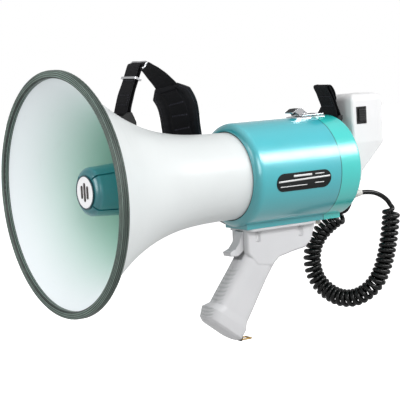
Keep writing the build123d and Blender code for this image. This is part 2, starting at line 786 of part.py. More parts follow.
RELIEF_TOP = -24.0
RELIEF_BOTTOM = -40.0
MIC_CORD = (0.0, 427.0)
with BuildPart() as mic_strain_relief:
    with BuildSketch(level(RELIEF_TOP)):
        with Locations(MIC_CORD):
            Circle(5.6)
    with BuildSketch(level(RELIEF_BOTTOM)):
        with Locations(MIC_CORD):
            Circle(3.9)
    loft()
    with BuildSketch(level(RELIEF_BOTTOM)):
        with Locations(MIC_CORD):
            Circle(CORD_R)
    extrude(amount=RELIEF_TOP - RELIEF_BOTTOM, mode=Mode.SUBTRACT)
save(mic_strain_relief, "mic_strain_relief")

# ---- curly cord ----------------------------------------------------------------------------------
GLAND_TAIL = (
    (GLAND[0], GLAND_BACK, GLAND[1]),
    (40.0, 428.0, -35.8),
    (40.3, 445.0, -42.0),
    (41.0, 457.0, -51.5),
    (41.0, 461.0, -62.0),
)
CURL = (
    (41.0, 461.0, -62.0),
    (41.5, 455.0, -96.0),
    (40.5, 446.0, -130.0),
    (35.0, 435.0, -156.0),
    (18.0, 422.0, -173.0),
    (-3.0, 411.0, -177.0),
    (-23.0, 401.0, -168.0),
    (-35.0, 391.0, -149.0),
    (-37.5, 388.0, -122.0),
    (-35.0, 395.0, -98.0),
    (-24.0, 409.0, -79.0),
    (-8.0, 421.0, -66.0),
)
MIC_TAIL = (
    (-8.0, 421.0, -66.0),
    (-2.5, 425.5, -58.0),
    (0.0, 427.0, -49.0),
    (0.0, 427.0, RELIEF_BOTTOM - 0.3),
)
BEND_SHARE = 0.45


def cord_run(route, radius, name):
    """Tube along straight runs joined by arcs as large as the runs allow."""
    points = [Vector(*spot(*place)) for place in route]
    radii = []
    for before, here, after in zip(points, points[1:], points[2:]):
        turn = math.radians((here - before).get_angle(after - here))
        shorter = min((here - before).length, (after - here).length)
        radii.append(BEND_SHARE * shorter / math.tan(turn / 2))
    with BuildPart() as tube:
        with BuildLine():
            path = FilletPolyline(*points, radius=radii)
        with BuildSketch(Plane(origin=path @ 0, z_dir=path % 0)):
            Circle(radius)
        sweep()
    length = path.length
    print(name, "length", round(length, 1), "radii", [round(r, 1) for r in radii])
    print(name, "volume over section x length", round(tube.part.volume / (math.pi * radius ** 2 * length), 4))
    return tube


cord_tail_gland = cord_run(GLAND_TAIL, CORD_R, "cord_tail_gland")
save(cord_tail_gland, "cord_tail_gland")
cord_curl = cord_run(CURL, COIL_R, "cord_curl")
save(cord_curl, "cord_curl")
cord_tail_mic = cord_run(MIC_TAIL, CORD_R, "cord_tail_mic")
save(cord_tail_mic, "cord_tail_mic")

# ---- pistol grip -------------------------------------------------------------------------------
GRIP_WALL = 2.6
GRIP_SECTIONS = (
    (279.0, -94.0, 50.0, 33.0),
    (259.0, -121.5, 48.0, 33.0),
    (243.0, -144.0, 50.0, 34.0),
    (226.5, -167.0, 51.5, 35.0),
)
FOOT_SECTIONS = (
    (226.5, -167.0, 51.5, 35.0),
    (219.5, -173.5, 62.0, 37.0),
    (213.6, -184.5, 58.0, 36.0),
    (212.0, -187.0, 51.0, 31.0),
)
GRIP_DOWN = (0.0, -0.6, -0.8)
SADDLE_HALF = 17.0
FLANGE_HALF = 23.5
FLANGE_T = 3.4
SADDLE_OUTLINE = (
    (249.0, PAD_Z),
    (354.0, PAD_Z),
    (354.0, -73.0),
    (348.0, -90.0),
    (338.0, -98.5),
    (318.0, -101.5),
    (297.0, -106.0),
    (284.0, -116.0),
    (262.0, -112.0),
    (249.0, -96.0),
)
TRIGGER_PIVOT = (257.0, -73.5)
TRIGGER_HALF = 7.5


def grip_form(sections, inset, ruled):
    """Loft through rounded sections square to the grip's lean."""
    outlines = []
    for back, up, depth, width in sections:
        with BuildSketch(Plane(origin=spot(0, back, up), x_dir=(1, 0, 0), z_dir=GRIP_DOWN)) as outline:
            RectangleRounded(width - 2 * inset, depth - 2 * inset, 13.0 - inset)
        outlines.append(outline.sketch)
    loft(outlines, ruled=ruled)


def saddle_form(inset):
    """Upper part of the grip, under the body."""
    with BuildSketch(SIDE) as outline:
        with BuildLine():
            Polyline(*SADDLE_OUTLINE, close=True)
        make_face()
        if inset > 0:
            offset(amount=-inset, kind=Kind.INTERSECTION)
    extrude(outline.sketch, amount=SADDLE_HALF - inset, both=True)


with BuildPart() as saddle_flange:
    with BuildSketch(level(PAD_Z)):
        with Locations((0, 301.5)):
            RectangleRounded(2 * FLANGE_HALF, 105, 7)
    extrude(amount=-FLANGE_T)

with BuildPart() as grip_void:
    saddle_form(GRIP_WALL)
    grip_form(GRIP_SECTIONS, GRIP_WALL, False)

with BuildPart() as saddle_block:
    saddle_form(0)
    lower_long = [e for e in saddle_block.edges() if e.center().Z < GRIP_TO_AXIS + PAD_Z - 3]
    fillet(lower_long, 3.0)

TRIGGER_SLOT = (
    (236, -68.4),
    (264, -68.4),
    (266, -80),
    (261, -92),
    (250, -104),
    (222, -104),
    (222, -84),
)
SLOT_CLEARANCE = 0.6
WELL_WALL = 2.0
with BuildPart() as trigger_well:
    with BuildSketch(SIDE):
        with BuildLine():
            Polyline(*TRIGGER_SLOT, close=True)
        make_face()
        offset(amount=WELL_WALL, kind=Kind.INTERSECTION)
    extrude(amount=TRIGGER_HALF + SLOT_CLEARANCE + WELL_WALL, both=True)
    add(grip_void.part, mode=Mode.INTERSECT)

with BuildPart() as grip_solid:
    add(saddle_block.part)
    grip_form(GRIP_SECTIONS, 0, False)
    grip_form(FOOT_SECTIONS, 0, True)
    add(grip_void.part, mode=Mode.SUBTRACT)
    add(trigger_well.part)
    with BuildSketch(level(PAD_Z - FLANGE_T)):
        with Locations(*[(x, back) for back, x in SADDLE_SCREWS]):
            Circle(4.3)
    extrude(amount=-14, mode=Mode.SUBTRACT)
    add(saddle_flange.part)
    with BuildSketch(level(PAD_Z)):
        with Locations(*[(x, back) for back, x in SADDLE_SCREWS]):
            Circle(SCREW_R)
    extrude(amount=-4, mode=Mode.SUBTRACT)
    with BuildSketch(SIDE):
        with BuildLine():
            Polyline(*TRIGGER_SLOT, close=True)
        make_face()
    extrude(amount=TRIGGER_HALF + SLOT_CLEARANCE, both=True, mode=Mode.SUBTRACT)
    rod(*TRIGGER_PIVOT, HINGE_PIN_R, 14, mode=Mode.SUBTRACT)

with BuildPart() as grip_right:
    add(grip_solid.part)
    split(bisect_by=Plane.YZ, keep=Keep.TOP)
save(grip_right, "grip_right")

with BuildPart() as grip_left:
    add(grip_solid.part)
    split(bisect_by=Plane.YZ, keep=Keep.BOTTOM)
save(grip_left, "grip_left")

with BuildPart() as saddle_screws:
    with BuildSketch(level(PAD_Z - FLANGE_T)):
        with Locations(*[(x, back) for back, x in SADDLE_SCREWS]):
            Circle(3.2)
    extrude(amount=-2)
    with BuildSketch(level(PAD_Z - FLANGE_T)):
        with Locations(*[(x, back) for back, x in SADDLE_SCREWS]):
            Circle(SCREW_R)
    extrude(amount=10.5)
    with BuildSketch(level(PAD_Z - FLANGE_T - 2)):
        with Locations(*[(x, back) for back, x in SADDLE_SCREWS]):
            Rectangle(4.2, 0.9)
            Rectangle(0.9, 4.2)
    extrude(amount=1.1, mode=Mode.SUBTRACT)
save(saddle_screws, "saddle_screws")

with BuildPart() as trigger:
    with BuildSketch(SIDE):
        with BuildLine():
            Polyline(
                (247.5, -69.4),
                (259.0, -69.4),
                (262.0, -73.5),
                (259.0, -80.0),
                (250.0, -92.5),
                (240.0, -98.6),
                (229.6, -98.0),
                (228.0, -93.0),
                (236.5, -90.0),
                (243.0, -82.5),
                close=True,
            )
        make_face()
    extrude(amount=TRIGGER_HALF, both=True)
    fillet(trigger.edges().filter_by(Axis.X), 0.8)
    rod(*TRIGGER_PIVOT, HINGE_PIN_R + RUNNING_GAP, 12, mode=Mode.SUBTRACT)
save(trigger, "trigger")

with BuildPart() as trigger_pin:
    rod(*TRIGGER_PIVOT, HINGE_PIN_R, 13.4)
save(trigger_pin, "trigger_pin")

with BuildPart() as trigger_switch:
    block((-3.2, 3.2), (270, 284), (-98, -88))
save(trigger_switch, "trigger_switch")

LANYARD_PIVOT = (241.5, -202.6)
with BuildPart() as lanyard_eye:
    with BuildSketch(SIDE):
        with Locations(LANYARD_PIVOT):
            Circle(2.6)
        with BuildLine():
            Polyline((236.5, -196.0), (244.5, -196.0), (244.1, -202.6), (238.9, -202.6), close=True)
        make_face()
    extrude(amount=3, both=True)
    rod(*LANYARD_PIVOT, 1.3, 5, mode=Mode.SUBTRACT)
    add(grip_solid.part, mode=Mode.SUBTRACT)
save(lanyard_eye, "lanyard_eye")

RING_HALF = 6.0
RING_REACH = 13.0
RING_WIRE_R = 1.1
with BuildPart() as lanyard_ring:
    rod(*LANYARD_PIVOT, RING_WIRE_R, RING_HALF)
    rod(LANYARD_PIVOT[0] + RING_REACH, LANYARD_PIVOT[1], RING_WIRE_R, RING_HALF)
    for side in (-1, 1):
        wire_at = side * RING_HALF
        ring(LANYARD_PIVOT[0], LANYARD_PIVOT[0] + RING_REACH, 0, RING_WIRE_R, wire_at, LANYARD_PIVOT[1])
        for corner in (0, RING_REACH):
            with Locations(spot(side * RING_HALF, LANYARD_PIVOT[0] + corner, LANYARD_PIVOT[1])):
                Sphere(RING_WIRE_R)
save(lanyard_ring, "lanyard_ring")

# ---- shoulder strap ------------------------------------------------------------------------------
LUG_BACK = 91.0
LUG_UP = bell_radius(LUG_BACK)
FRONT_BAR = (LUG_BACK + 1.0, LUG_UP + 6.0)
with BuildPart() as front_strap_lug:
    for side in (-1, 1):
        low = min(side * 14.6, side * 17)
        with BuildSketch(SIDE.offset(low)):
            with BuildLine():
                Polyline(
                    (LUG_BACK - 8, LUG_UP - 4),
                    (LUG_BACK - 8, LUG_UP + 4.5),
                    (FRONT_BAR[0] - 2.6, FRONT_BAR[1] + 2.6),
                    (FRONT_BAR[0] + 2.6, FRONT_BAR[1] + 2.6),
                    (LUG_BACK + 9, LUG_UP - 3),
                    (LUG_BACK + 9, LUG_UP - 10),
                    close=True,
                )
            make_face()
        extrude(amount=2.4)
    with BuildSketch(SIDE):
        with BuildLine():
            Polyline(
                (LUG_BACK - 8, LUG_UP - 4),
                (LUG_BACK - 8, LUG_UP + 5.2),
                (LUG_BACK + 9, LUG_UP - 2.6),
                (LUG_BACK + 9, LUG_UP - 10),
                close=True,
            )
        make_face()
    extrude(amount=17, both=True)
    rod(*FRONT_BAR, BAR_R, 17)
    with BuildSketch(radial()):
        with BuildLine():
            fill = Spline(*BELL)
            Polyline(fill @ 1, (0, BELL[-1][1]), (0, BELL[0][1]), fill @ 0)
        make_face()
    revolve(axis=HORN_AXIS, mode=Mode.SUBTRACT)
save(front_strap_lug, "front_strap_lug")


def ribbon(stations, half, thick):
    """Flat band through hand-placed stations: (x, back, up), then the way its width points."""
    places = [Vector(*spot(*station[:3])) for station in stations]
    outlines = []
    for i, station in enumerate(stations):
        ahead = places[min(i + 1, len(places) - 1)] - places[max(i - 1, 0)]
        wide = Vector(*station[3:])
        wide = (wide - ahead.normalized() * wide.dot(ahead.normalized())).normalized()
        with BuildSketch(Plane(origin=places[i], x_dir=wide, z_dir=ahead)) as outline:
            Rectangle(2 * half, thick)
        outlines.append(outline.sketch)
    loft(outlines, ruled=True)


with BuildPart() as strap_front_web:
    ribbon(
        (
            (0, 93.0, FRONT_BAR[1] + 4.8, 1, 0, 0),
            (0, 98.0, 107.0, 1, 0, 0),
            (0, 106.5, 126.0, 1, 0, 0),
            (0, 112.0, 141.0, 1, 0, 0),
        ),
        WEB_HALF,
        5.0,
    )
    ribbon(
        (
            (0, 111.0, 141.5, 1, 0, 0),
            (-4, 126.0, 143.5, 1, 0.15, 0),
            (-11, 145.0, 133.0, 0.9, 0.4, 0.1),
            (-20, 166.0, 116.0, 0.7, 0.7, 0.1),
        ),
        WEB_HALF,
        2.6,
    )
save(strap_front_web, "strap_front_web")

with BuildPart() as web_keeper:
    with BuildSketch(Plane(origin=spot(0, 106.0, 124.8), x_dir=(1, 0, 0), z_dir=(0, 0.39, 0.92))):
        RectangleRounded(33, 9.4, 1.6)
        Rectangle(28.6, 6.2, mode=Mode.SUBTRACT)
    extrude(amount=2.6)
save(web_keeper, "web_keeper")

with BuildPart() as shoulder_pad:
    ribbon(
        (
            (-21, 168.0, 114.0, 0.62, 0.78, 0.05),
            (-33, 190.0, 90.0, 0.55, 0.83, 0.05),
            (-55, 209.0, 56.0, 0.38, 0.88, 0.1),
            (-73, 228.0, 19.0, 0.08, 0.95, 0.2),
            (-77, 246.0, -18.0, 0.02, 0.93, 0.3),
        ),
        25.0,
        7.0,
    )
save(shoulder_pad, "shoulder_pad")

with BuildPart() as strap_side_web:
    ribbon(
        (
            (-77.6, 248.0, -21.0, 0.05, 0.9, 0.4),
            (-77.0, 266.0, -44.0, 0, 0.8, 0.6),
            (-76.0, 290.0, -58.0, 0, 0.5, 0.85),
            (-75.0, 318.0, -60.0, 0, -0.1, 1),
            (-74.5, 344.0, -50.0, 0, -0.6, 0.8),
            (-74.0, 361.0, -30.0, 0, -0.85, 0.5),
            (-73.6, 372.0, -12.0, 0, -0.95, 0.3),
        ),
        WEB_HALF,
        2.6,
    )
save(strap_side_web, "strap_side_web")

with BuildPart() as strap_rear_web:
    ribbon(
        (
            (-73.2, 375.0, -7.6, 0, -0.78, 0.62),
            (-69.5, 390.0, 6.0, -0.2, -0.6, 0.7),
            (-61.0, 401.0, 21.0, -0.5, -0.2, 0.8),
            (-48.0, 409.0, 38.0, -0.7, 0, 0.7),
            (-33.0, 412.0, 54.0, -0.8, 0.1, 0.6),
            (-19.0, 411.0, 69.0, -0.9, 0.1, 0.4),
            (-8.0, 406.0, 83.0, -0.98, 0.1, 0.1),
            (-2.0, 399.0, 95.0, -1, 0, 0),
        ),
        WEB_HALF,
        2.6,
    )
    ribbon(
        (
            (0, 403.0, REAR_BAR[1] + 4.2, 1, 0, 0),
            (0, 399.5, 75.0, 1, 0, 0),
            (0, 393.0, 90.0, 1, 0, 0),
            (0, 388.0, 99.0, 1, 0, 0),
        ),
        WEB_HALF,
        5.0,
    )
save(strap_rear_web, "strap_rear_web")
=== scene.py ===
"""Looks of a handheld megaphone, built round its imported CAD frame. Lengths are metres."""
import math

import bpy
from mathutils import Matrix, Vector


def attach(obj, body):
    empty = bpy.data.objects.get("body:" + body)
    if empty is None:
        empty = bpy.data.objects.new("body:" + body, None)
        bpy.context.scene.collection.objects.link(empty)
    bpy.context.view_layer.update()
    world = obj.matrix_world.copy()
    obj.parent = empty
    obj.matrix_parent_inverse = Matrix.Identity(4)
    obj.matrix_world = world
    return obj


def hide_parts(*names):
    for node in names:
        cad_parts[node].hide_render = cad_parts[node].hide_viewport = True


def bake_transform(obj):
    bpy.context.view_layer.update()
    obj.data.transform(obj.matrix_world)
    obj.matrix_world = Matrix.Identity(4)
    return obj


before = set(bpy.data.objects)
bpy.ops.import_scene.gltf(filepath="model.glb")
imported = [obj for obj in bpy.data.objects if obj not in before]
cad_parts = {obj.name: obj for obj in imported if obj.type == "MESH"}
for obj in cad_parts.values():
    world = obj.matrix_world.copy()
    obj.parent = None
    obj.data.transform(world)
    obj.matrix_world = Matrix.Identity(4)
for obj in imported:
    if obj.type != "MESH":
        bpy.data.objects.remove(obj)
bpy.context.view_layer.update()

MM = 0.001
MOUTH_BACK = 0.250      # the mouth plane lies this far in front of the frame's origin
AXIS_UP = 0.140         # the horn's axis lies this far above it


def at(x, back, up):
    """The point x right, back behind the mouth and up above the horn axis, all in millimetres."""
    return Vector((x * MM, back * MM - MOUTH_BACK, up * MM + AXIS_UP))


# ---- shader nodes ---------------------------------------------------------------------------


class Nodes:
    """A material's node tree, with short calls for what the finishes below are made of."""

    def __init__(self, name):
        self.material = bpy.data.materials.new(name)
        self.material.use_nodes = True
        self.tree = self.material.node_tree
        self.shader = self.tree.nodes["Principled BSDF"]
        self.places = self.add("ShaderNodeTexCoord").outputs

    def add(self, kind, **settings):
        node = self.tree.nodes.new(kind)
        for key, value in settings.items():
            setattr(node, key, value)
        return node

    def feed(self, socket, value):
        if isinstance(value, bpy.types.NodeSocket):
            self.tree.links.new(value, socket)
        else:
            socket.default_value = value

    def math(self, operation, a, b=0.0):
        node = self.add("ShaderNodeMath", operation=operation)
        self.feed(node.inputs[0], a)
        self.feed(node.inputs[1], b)
        return node.outputs[0]

    def axis(self, name, places="Object"):
        """One coordinate of the surface point."""
        parts = self.add("ShaderNodeSeparateXYZ")
        self.feed(parts.inputs[0], self.places[places])
        return parts.outputs[name]

    def dot(self, a, b):
        """How far two directions agree: 1 for the same way, 0 at a right angle."""
        node = self.add("ShaderNodeVectorMath", operation="DOT_PRODUCT")
        self.feed(node.inputs[0], a)
        self.feed(node.inputs[1], b)
        return node.outputs["Value"]

    def noise(self, scale, detail=3.0, stretch=None):
        """Cloudy values about 0.5. stretch squeezes them along X, Y or Z."""
        node = self.add("ShaderNodeTexNoise")
        node.inputs["Scale"].default_value = scale
        node.inputs["Detail"].default_value = detail
        source = self.places["Object"]
        if stretch:
            mapping = self.add("ShaderNodeMapping")
            mapping.inputs["Scale"].default_value = stretch
            self.feed(mapping.inputs["Vector"], source)
            source = mapping.outputs[0]
        self.feed(node.inputs["Vector"], source)
        return node.outputs["Fac"]

    def spread(self, value, low, high, to_low=0.0, to_high=1.0):
        """value taken from low..high to to_low..to_high, held at the ends."""
        node = self.add("ShaderNodeMapRange", interpolation_type="SMOOTHSTEP")
        for socket, number in zip(node.inputs, (value, low, high, to_low, to_high)):
            self.feed(socket, number)
        return node.outputs[0]

    def mix(self, share, a, b):
        """Colour a, with share of colour b over it."""
        node = self.add("ShaderNodeMix", data_type="RGBA")
        self.feed(node.inputs[0], share)
        self.feed(node.inputs[6], a)
        self.feed(node.inputs[7], b)
        return node.outputs[2]

    def ridge(self, height, strength, distance, under=None):
        """A bump from height, over the bump given as under."""
        node = self.add("ShaderNodeBump")
        node.inputs["Strength"].default_value = strength
        node.inputs["Distance"].default_value = distance
        self.feed(node.inputs["Height"], height)
        if under:
            self.feed(node.inputs["Normal"], under)
        return node.outputs["Normal"]

    def rounded(self, radius=0.0006):
        """The surface's direction with its sharp edges eased by that radius."""
        node = self.add("ShaderNodeBevel", samples=4)
        node.inputs["Radius"].default_value = radius
        return node.outputs["Normal"]

    def edges(self, radius=0.0010):
        """1 along sharp edges and 0 on flat ground, broken up by noise."""
        surface = self.add("ShaderNodeNewGeometry").outputs["Normal"]
        sharp = self.spread(self.dot(self.rounded(radius), surface), 0.995, 0.93)
        return self.math("MULTIPLY", sharp, self.spread(self.noise(90.0), 0.35, 0.6))

    def finish(self, color, roughness, normal=None, **fixed):
        """Feeds the shader. fixed holds sockets that are the same all over the surface."""
        self.feed(self.shader.inputs["Base Color"], color)
        self.feed(self.shader.inputs["Roughness"], roughness)
        if normal:
            self.feed(self.shader.inputs["Normal"], normal)
        for key, value in fixed.items():
            self.shader.inputs[key.replace("_", " ")].default_value = value
        return self.material


def rgb(red, green, blue):
    """A linear colour from the 0-255 values that a screen shows."""
    return (*(((c / 255 + 0.055) / 1.055) ** 2.4 if c > 10 else c / 3295 for c in (red, green, blue)), 1.0)


def shade(color, factor):
    """The colour with its light multiplied by the factor."""
    return (*(c * factor for c in color[:3]), 1.0)


# ---- finishes -------------------------------------------------------------------------------

EDGE_WEAR = 0.25         # how strongly moulded edges are rubbed
CLOUDING = 0.06          # how much darker moulded plastic gets in patches
SEAM_Y = 0.1132          # the seam between the body and the rear cover
RIM_RING_PITCH = 0.0023
GRIP_RIB_PITCH = 0.0034
WEAVE_RIBS = 900.0       # ribs of the webbing to the metre


def moulded(name, color, roughness=0.42, grain=0.25, coat=0.0):
    """Moulded plastic: a fine spark-eroded grain, slight cloudiness, and rubbed edges."""
    n = Nodes(name)
    tone = n.mix(n.spread(n.noise(14.0), 0.3, 0.7), shade(color, 1 - CLOUDING), color)
    rubbed = shade(color, 1.25) if max(color[:3]) < 0.5 else shade(color, 0.86)
    tone = n.mix(n.math("MULTIPLY", n.edges(), EDGE_WEAR), tone, rubbed)
    rough = n.spread(n.noise(45.0, 5.0), 0.3, 0.7, roughness - 0.06, roughness + 0.07)
    texture = n.ridge(n.noise(2600.0, 2.0), grain, 0.00006, n.rounded())
    texture = n.ridge(n.noise(60.0, 1.0), 0.08, 0.0002, texture)
    return n.finish(tone, rough, texture, Coat_Weight=coat, Coat_Roughness=0.12)


def enamel(name, color, deep, seam=None, lacquer=1.0):
    """Metallic paint under clear lacquer: flakes painted lighter as a painted glint, orange peel, a dark line
    at the seam, and painted shade low down and on front-facing parts.
    """
    n = Nodes(name)
    flakes = n.add("ShaderNodeTexVoronoi")
    flakes.inputs["Scale"].default_value = 2600.0
    n.feed(flakes.inputs["Vector"], n.places["Object"])
    glint = n.spread(flakes.outputs["Distance"], 0.0, 0.75)
    # Painted shade: the lower part takes the deep tone.
    side = n.spread(n.axis("Z"), AXIS_UP - 0.062, AXIS_UP + 0.050)
    tone = n.mix(side, deep, color)
    # Painted shade: parts facing forward are darkened further.
    facing = n.spread(n.axis("Y", "Normal"), -0.15, -0.85)
    tone = n.mix(n.math("MULTIPLY", facing, 0.6), tone, shade(deep, 0.55))
    # Painted glint: the flakes are painted lighter.
    tone = n.mix(n.math("MULTIPLY", glint, 0.2), tone, shade(color, 1.35))
    tone = n.mix(n.spread(n.noise(9.0), 0.3, 0.75, 0.0, 0.15), tone, deep)
    if seam:
        off = n.math("ABSOLUTE", n.math("SUBTRACT", n.axis("Y"), seam))
        tone = n.mix(n.spread(off, 0.0011, 0.0003, 0.0, 0.75), tone, shade(deep, 0.25))
    rough = n.spread(n.noise(38.0, 4.0), 0.3, 0.7, 0.29, 0.36)
    peel = n.ridge(n.noise(420.0, 2.0), 0.05, 0.0002)
    peel = n.ridge(glint, 0.04, 0.00005, peel)
    return n.finish(
        tone,
        rough,
        peel,
        Metallic=0.10,
        Coat_Weight=lacquer,
        Coat_IOR=1.7,
        Coat_Roughness=0.21,
        Specular_IOR_Level=0.9,
    )


def horn_plastic():
    """White ABS horn: clean outside; inside, where it faces the axis, painted light near the mouth, and
    painted shade and a painted teal reflection deeper in that make it greener and darker.
    """
    n = Nodes("horn_white")
    from_axis = n.add("ShaderNodeVectorMath", operation="MULTIPLY_ADD")
    n.feed(from_axis.inputs[0], n.places["Object"])
    from_axis.inputs[1].default_value = (1.0, 0.0, 1.0)
    from_axis.inputs[2].default_value = (0.0, 0.0, -AXIS_UP)
    inside = n.spread(n.dot(n.places["Normal"], from_axis.outputs[0]), 0.004, -0.012)
    depth = n.spread(n.axis("Y"), -0.245, -0.135)
    # Painted light, shade and teal reflection on the inside: pale near the mouth, greener and darker deeper
    # in.
    inner_painted_tone = n.mix(depth, rgb(232, 237, 240), rgb(162, 206, 188))
    shell = n.mix(n.spread(n.noise(7.0), 0.3, 0.7), rgb(216, 220, 220), rgb(222, 226, 226))
    tone = n.mix(inside, shell, inner_painted_tone)
    scuffs = n.noise(30.0, 6.0, (1.0, 4.0, 1.0))
    tone = n.mix(n.spread(scuffs, 0.62, 0.72, 0.0, 0.10), tone, rgb(196, 204, 202))
    rough = n.spread(n.noise(40.0, 5.0), 0.3, 0.7, 0.34, 0.46)
    grain = n.ridge(n.noise(1800.0, 2.0), 0.16, 0.00006)
    grain = n.ridge(n.noise(22.0, 1.0), 0.10, 0.0006, grain)
    return n.finish(tone, rough, grain, Coat_Weight=0.12, Coat_Roughness=0.2, Specular_IOR_Level=0.45)


def rubber(name, color, rough):
    """Extruded rubber: dull, a little dusty, with drawn lines along the extrusion."""
    n = Nodes(name)
    dust = n.spread(n.noise(55.0, 6.0), 0.45, 0.75, 0.0, 0.28)
    tone = n.mix(dust, color, shade(color, 1.7))
    tone = n.mix(n.math("MULTIPLY", n.edges(0.0006), 0.4), tone, shade(color, 2.0))
    drag = n.ridge(n.noise(900.0, 3.0), 0.3, 0.00008, n.rounded(0.0003))
    return n.finish(tone, n.spread(n.noise(70.0, 3.0), 0.3, 0.7, rough - 0.1, rough + 0.1), drag)


def ribbed_rim(color):
    """The horn's rubber rim, with the raised rings of its extrusion: painted shade in the grooves between
    them, and crests paler, partly from wear and partly a painted highlight.
    """
    n = Nodes("rim_rubber")
    over = n.math("SUBTRACT", n.axis("Z"), AXIS_UP)
    squares = n.math("ADD", n.math("POWER", n.axis("X"), 2.0), n.math("POWER", over, 2.0))
    along = n.math("ADD", n.math("SQRT", squares), n.axis("Y"))
    rings = n.math("SINE", n.math("MULTIPLY", along, math.tau / RIM_RING_PITCH))
    crest_wear_and_highlight = n.math("MULTIPLY", n.spread(rings, 0.5, 0.95), n.spread(n.noise(40.0, 4.0), 0.25, 0.6, 0.55, 1.0))
    # Painted shade: the grooves between the rings are darkened.
    tone = n.mix(n.spread(rings, -0.9, 0.2), shade(color, 0.22), color)
    # The crests are paler: partly wear, partly a painted highlight.
    tone = n.mix(crest_wear_and_highlight, tone, shade(color, 3.4))
    tone = n.mix(n.spread(n.noise(55.0, 6.0), 0.5, 0.75, 0.0, 0.25), tone, shade(color, 1.6))
    bump = n.ridge(rings, 0.5, 0.0004)
    bump = n.ridge(n.noise(900.0, 3.0), 0.3, 0.00008, bump)
    return n.finish(tone, n.spread(n.noise(70.0, 3.0), 0.3, 0.7, 0.36, 0.5), bump)


def plated(name, color, roughness, scratches=0.3, wear=rgb(120, 112, 98), top_painted_reflection=0.0):
    """Plated or drawn metal with hair scratches and a dull film in patches; sharp edges, and upward faces as
    far as asked, are painted dark as a painted dark reflection.
    """
    n = Nodes(name)
    hair = n.noise(260.0, 6.0, (1.0, 14.0, 1.0))
    film = n.spread(n.noise(48.0, 5.0), 0.5, 0.75, 0.0, 0.2)
    tone = n.mix(film, color, wear)
    # Painted dark reflection along sharp edges.
    tone = n.mix(n.math("MULTIPLY", n.edges(0.0004), 0.6), tone, shade(color, 0.15))
    if top_painted_reflection:
        # Painted dark reflection on upward faces, with the metal made less metallic there.
        upward_painted_reflection = n.spread(n.axis("Z", "Normal"), 0.4, 0.75, 0.0, top_painted_reflection)
        tone = n.mix(upward_painted_reflection, tone, shade(color, 0.03))
        n.feed(n.shader.inputs["Metallic"], n.math("SUBTRACT", 1.0, upward_painted_reflection))
        n.shader.inputs["Specular IOR Level"].default_value = 0.0
    dulled = n.math("MULTIPLY", film, 0.3)
    rough = n.math("ADD", n.spread(hair, 0.35, 0.65, roughness - 0.05, roughness + 0.08), dulled)
    lines = n.ridge(hair, scratches * 0.4, 0.00004, n.rounded(0.0005))
    return n.finish(tone, rough, lines, Metallic=1.0)


def webbing(name, color):
    """Woven nylon: ribs across the band and twill along it, from the band's own length and width."""
    n = Nodes(name)
    along = n.math("SINE", n.math("MULTIPLY", n.axis("X", "UV"), WEAVE_RIBS * math.tau))
    slanted = n.math("ADD", n.axis("Y", "UV"), n.math("MULTIPLY", n.axis("X", "UV"), 0.6))
    across = n.math("SINE", n.math("MULTIPLY", slanted, WEAVE_RIBS * 0.7 * math.tau))
    weave = n.math("MULTIPLY", along, across)
    height = n.spread(weave, -1.0, 1.0)
    fuzz = n.noise(1500.0, 4.0)
    # Painted shade: the weave's hollows are darker and its raised threads lighter.
    tone = n.mix(height, shade(color, 0.55), shade(color, 1.5))
    tone = n.mix(n.spread(fuzz, 0.55, 0.75, 0.0, 0.35), tone, shade(color, 2.6))
    bump = n.ridge(height, 0.7, 0.0004)
    bump = n.ridge(fuzz, 0.3, 0.0002, bump)
    rough = n.spread(fuzz, 0.3, 0.7, 0.62, 0.86)
    return n.finish(tone, rough, bump, Specular_IOR_Level=0.25)


def vinyl(name, color):
    """Matt coated fabric of the shoulder pad: leathery pebbles with a slight sheen."""
    n = Nodes(name)
    cells = n.add("ShaderNodeTexVoronoi", feature="SMOOTH_F1")
    cells.inputs["Scale"].default_value = 900.0
    n.feed(cells.inputs["Vector"], n.places["Object"])
    pebble = cells.outputs["Distance"]
    tone = n.mix(n.spread(pebble, 0.1, 0.6), shade(color, 1.25), shade(color, 0.7))
    tone = n.mix(n.spread(n.noise(35.0, 5.0), 0.5, 0.75, 0.0, 0.3), tone, shade(color, 1.9))
    bump = n.ridge(pebble, 0.5, 0.0003)
    bump = n.ridge(n.noise(70.0, 3.0), 0.25, 0.0012, bump)
    rough = n.spread(n.noise(80.0, 3.0), 0.3, 0.7, 0.44, 0.62)
    return n.finish(tone, rough, bump, Specular_IOR_Level=0.3)


def cable_jacket():
    """Glossy black PVC with fine drawing marks and a scuffed bloom."""
    n = Nodes("cord_black")
    bloom = n.spread(n.noise(160.0, 5.0), 0.55, 0.78, 0.0, 0.3)
    tone = n.mix(bloom, rgb(1, 3, 3), rgb(12, 15, 14))
    rough = n.spread(n.noise(90.0, 4.0), 0.3, 0.7, 0.29, 0.4)
    marks = n.ridge(n.noise(700.0, 2.0), 0.12, 0.0001)
    return n.finish(tone, rough, marks, Coat_Weight=0.7, Coat_Roughness=0.05, Specular_IOR_Level=0.02)


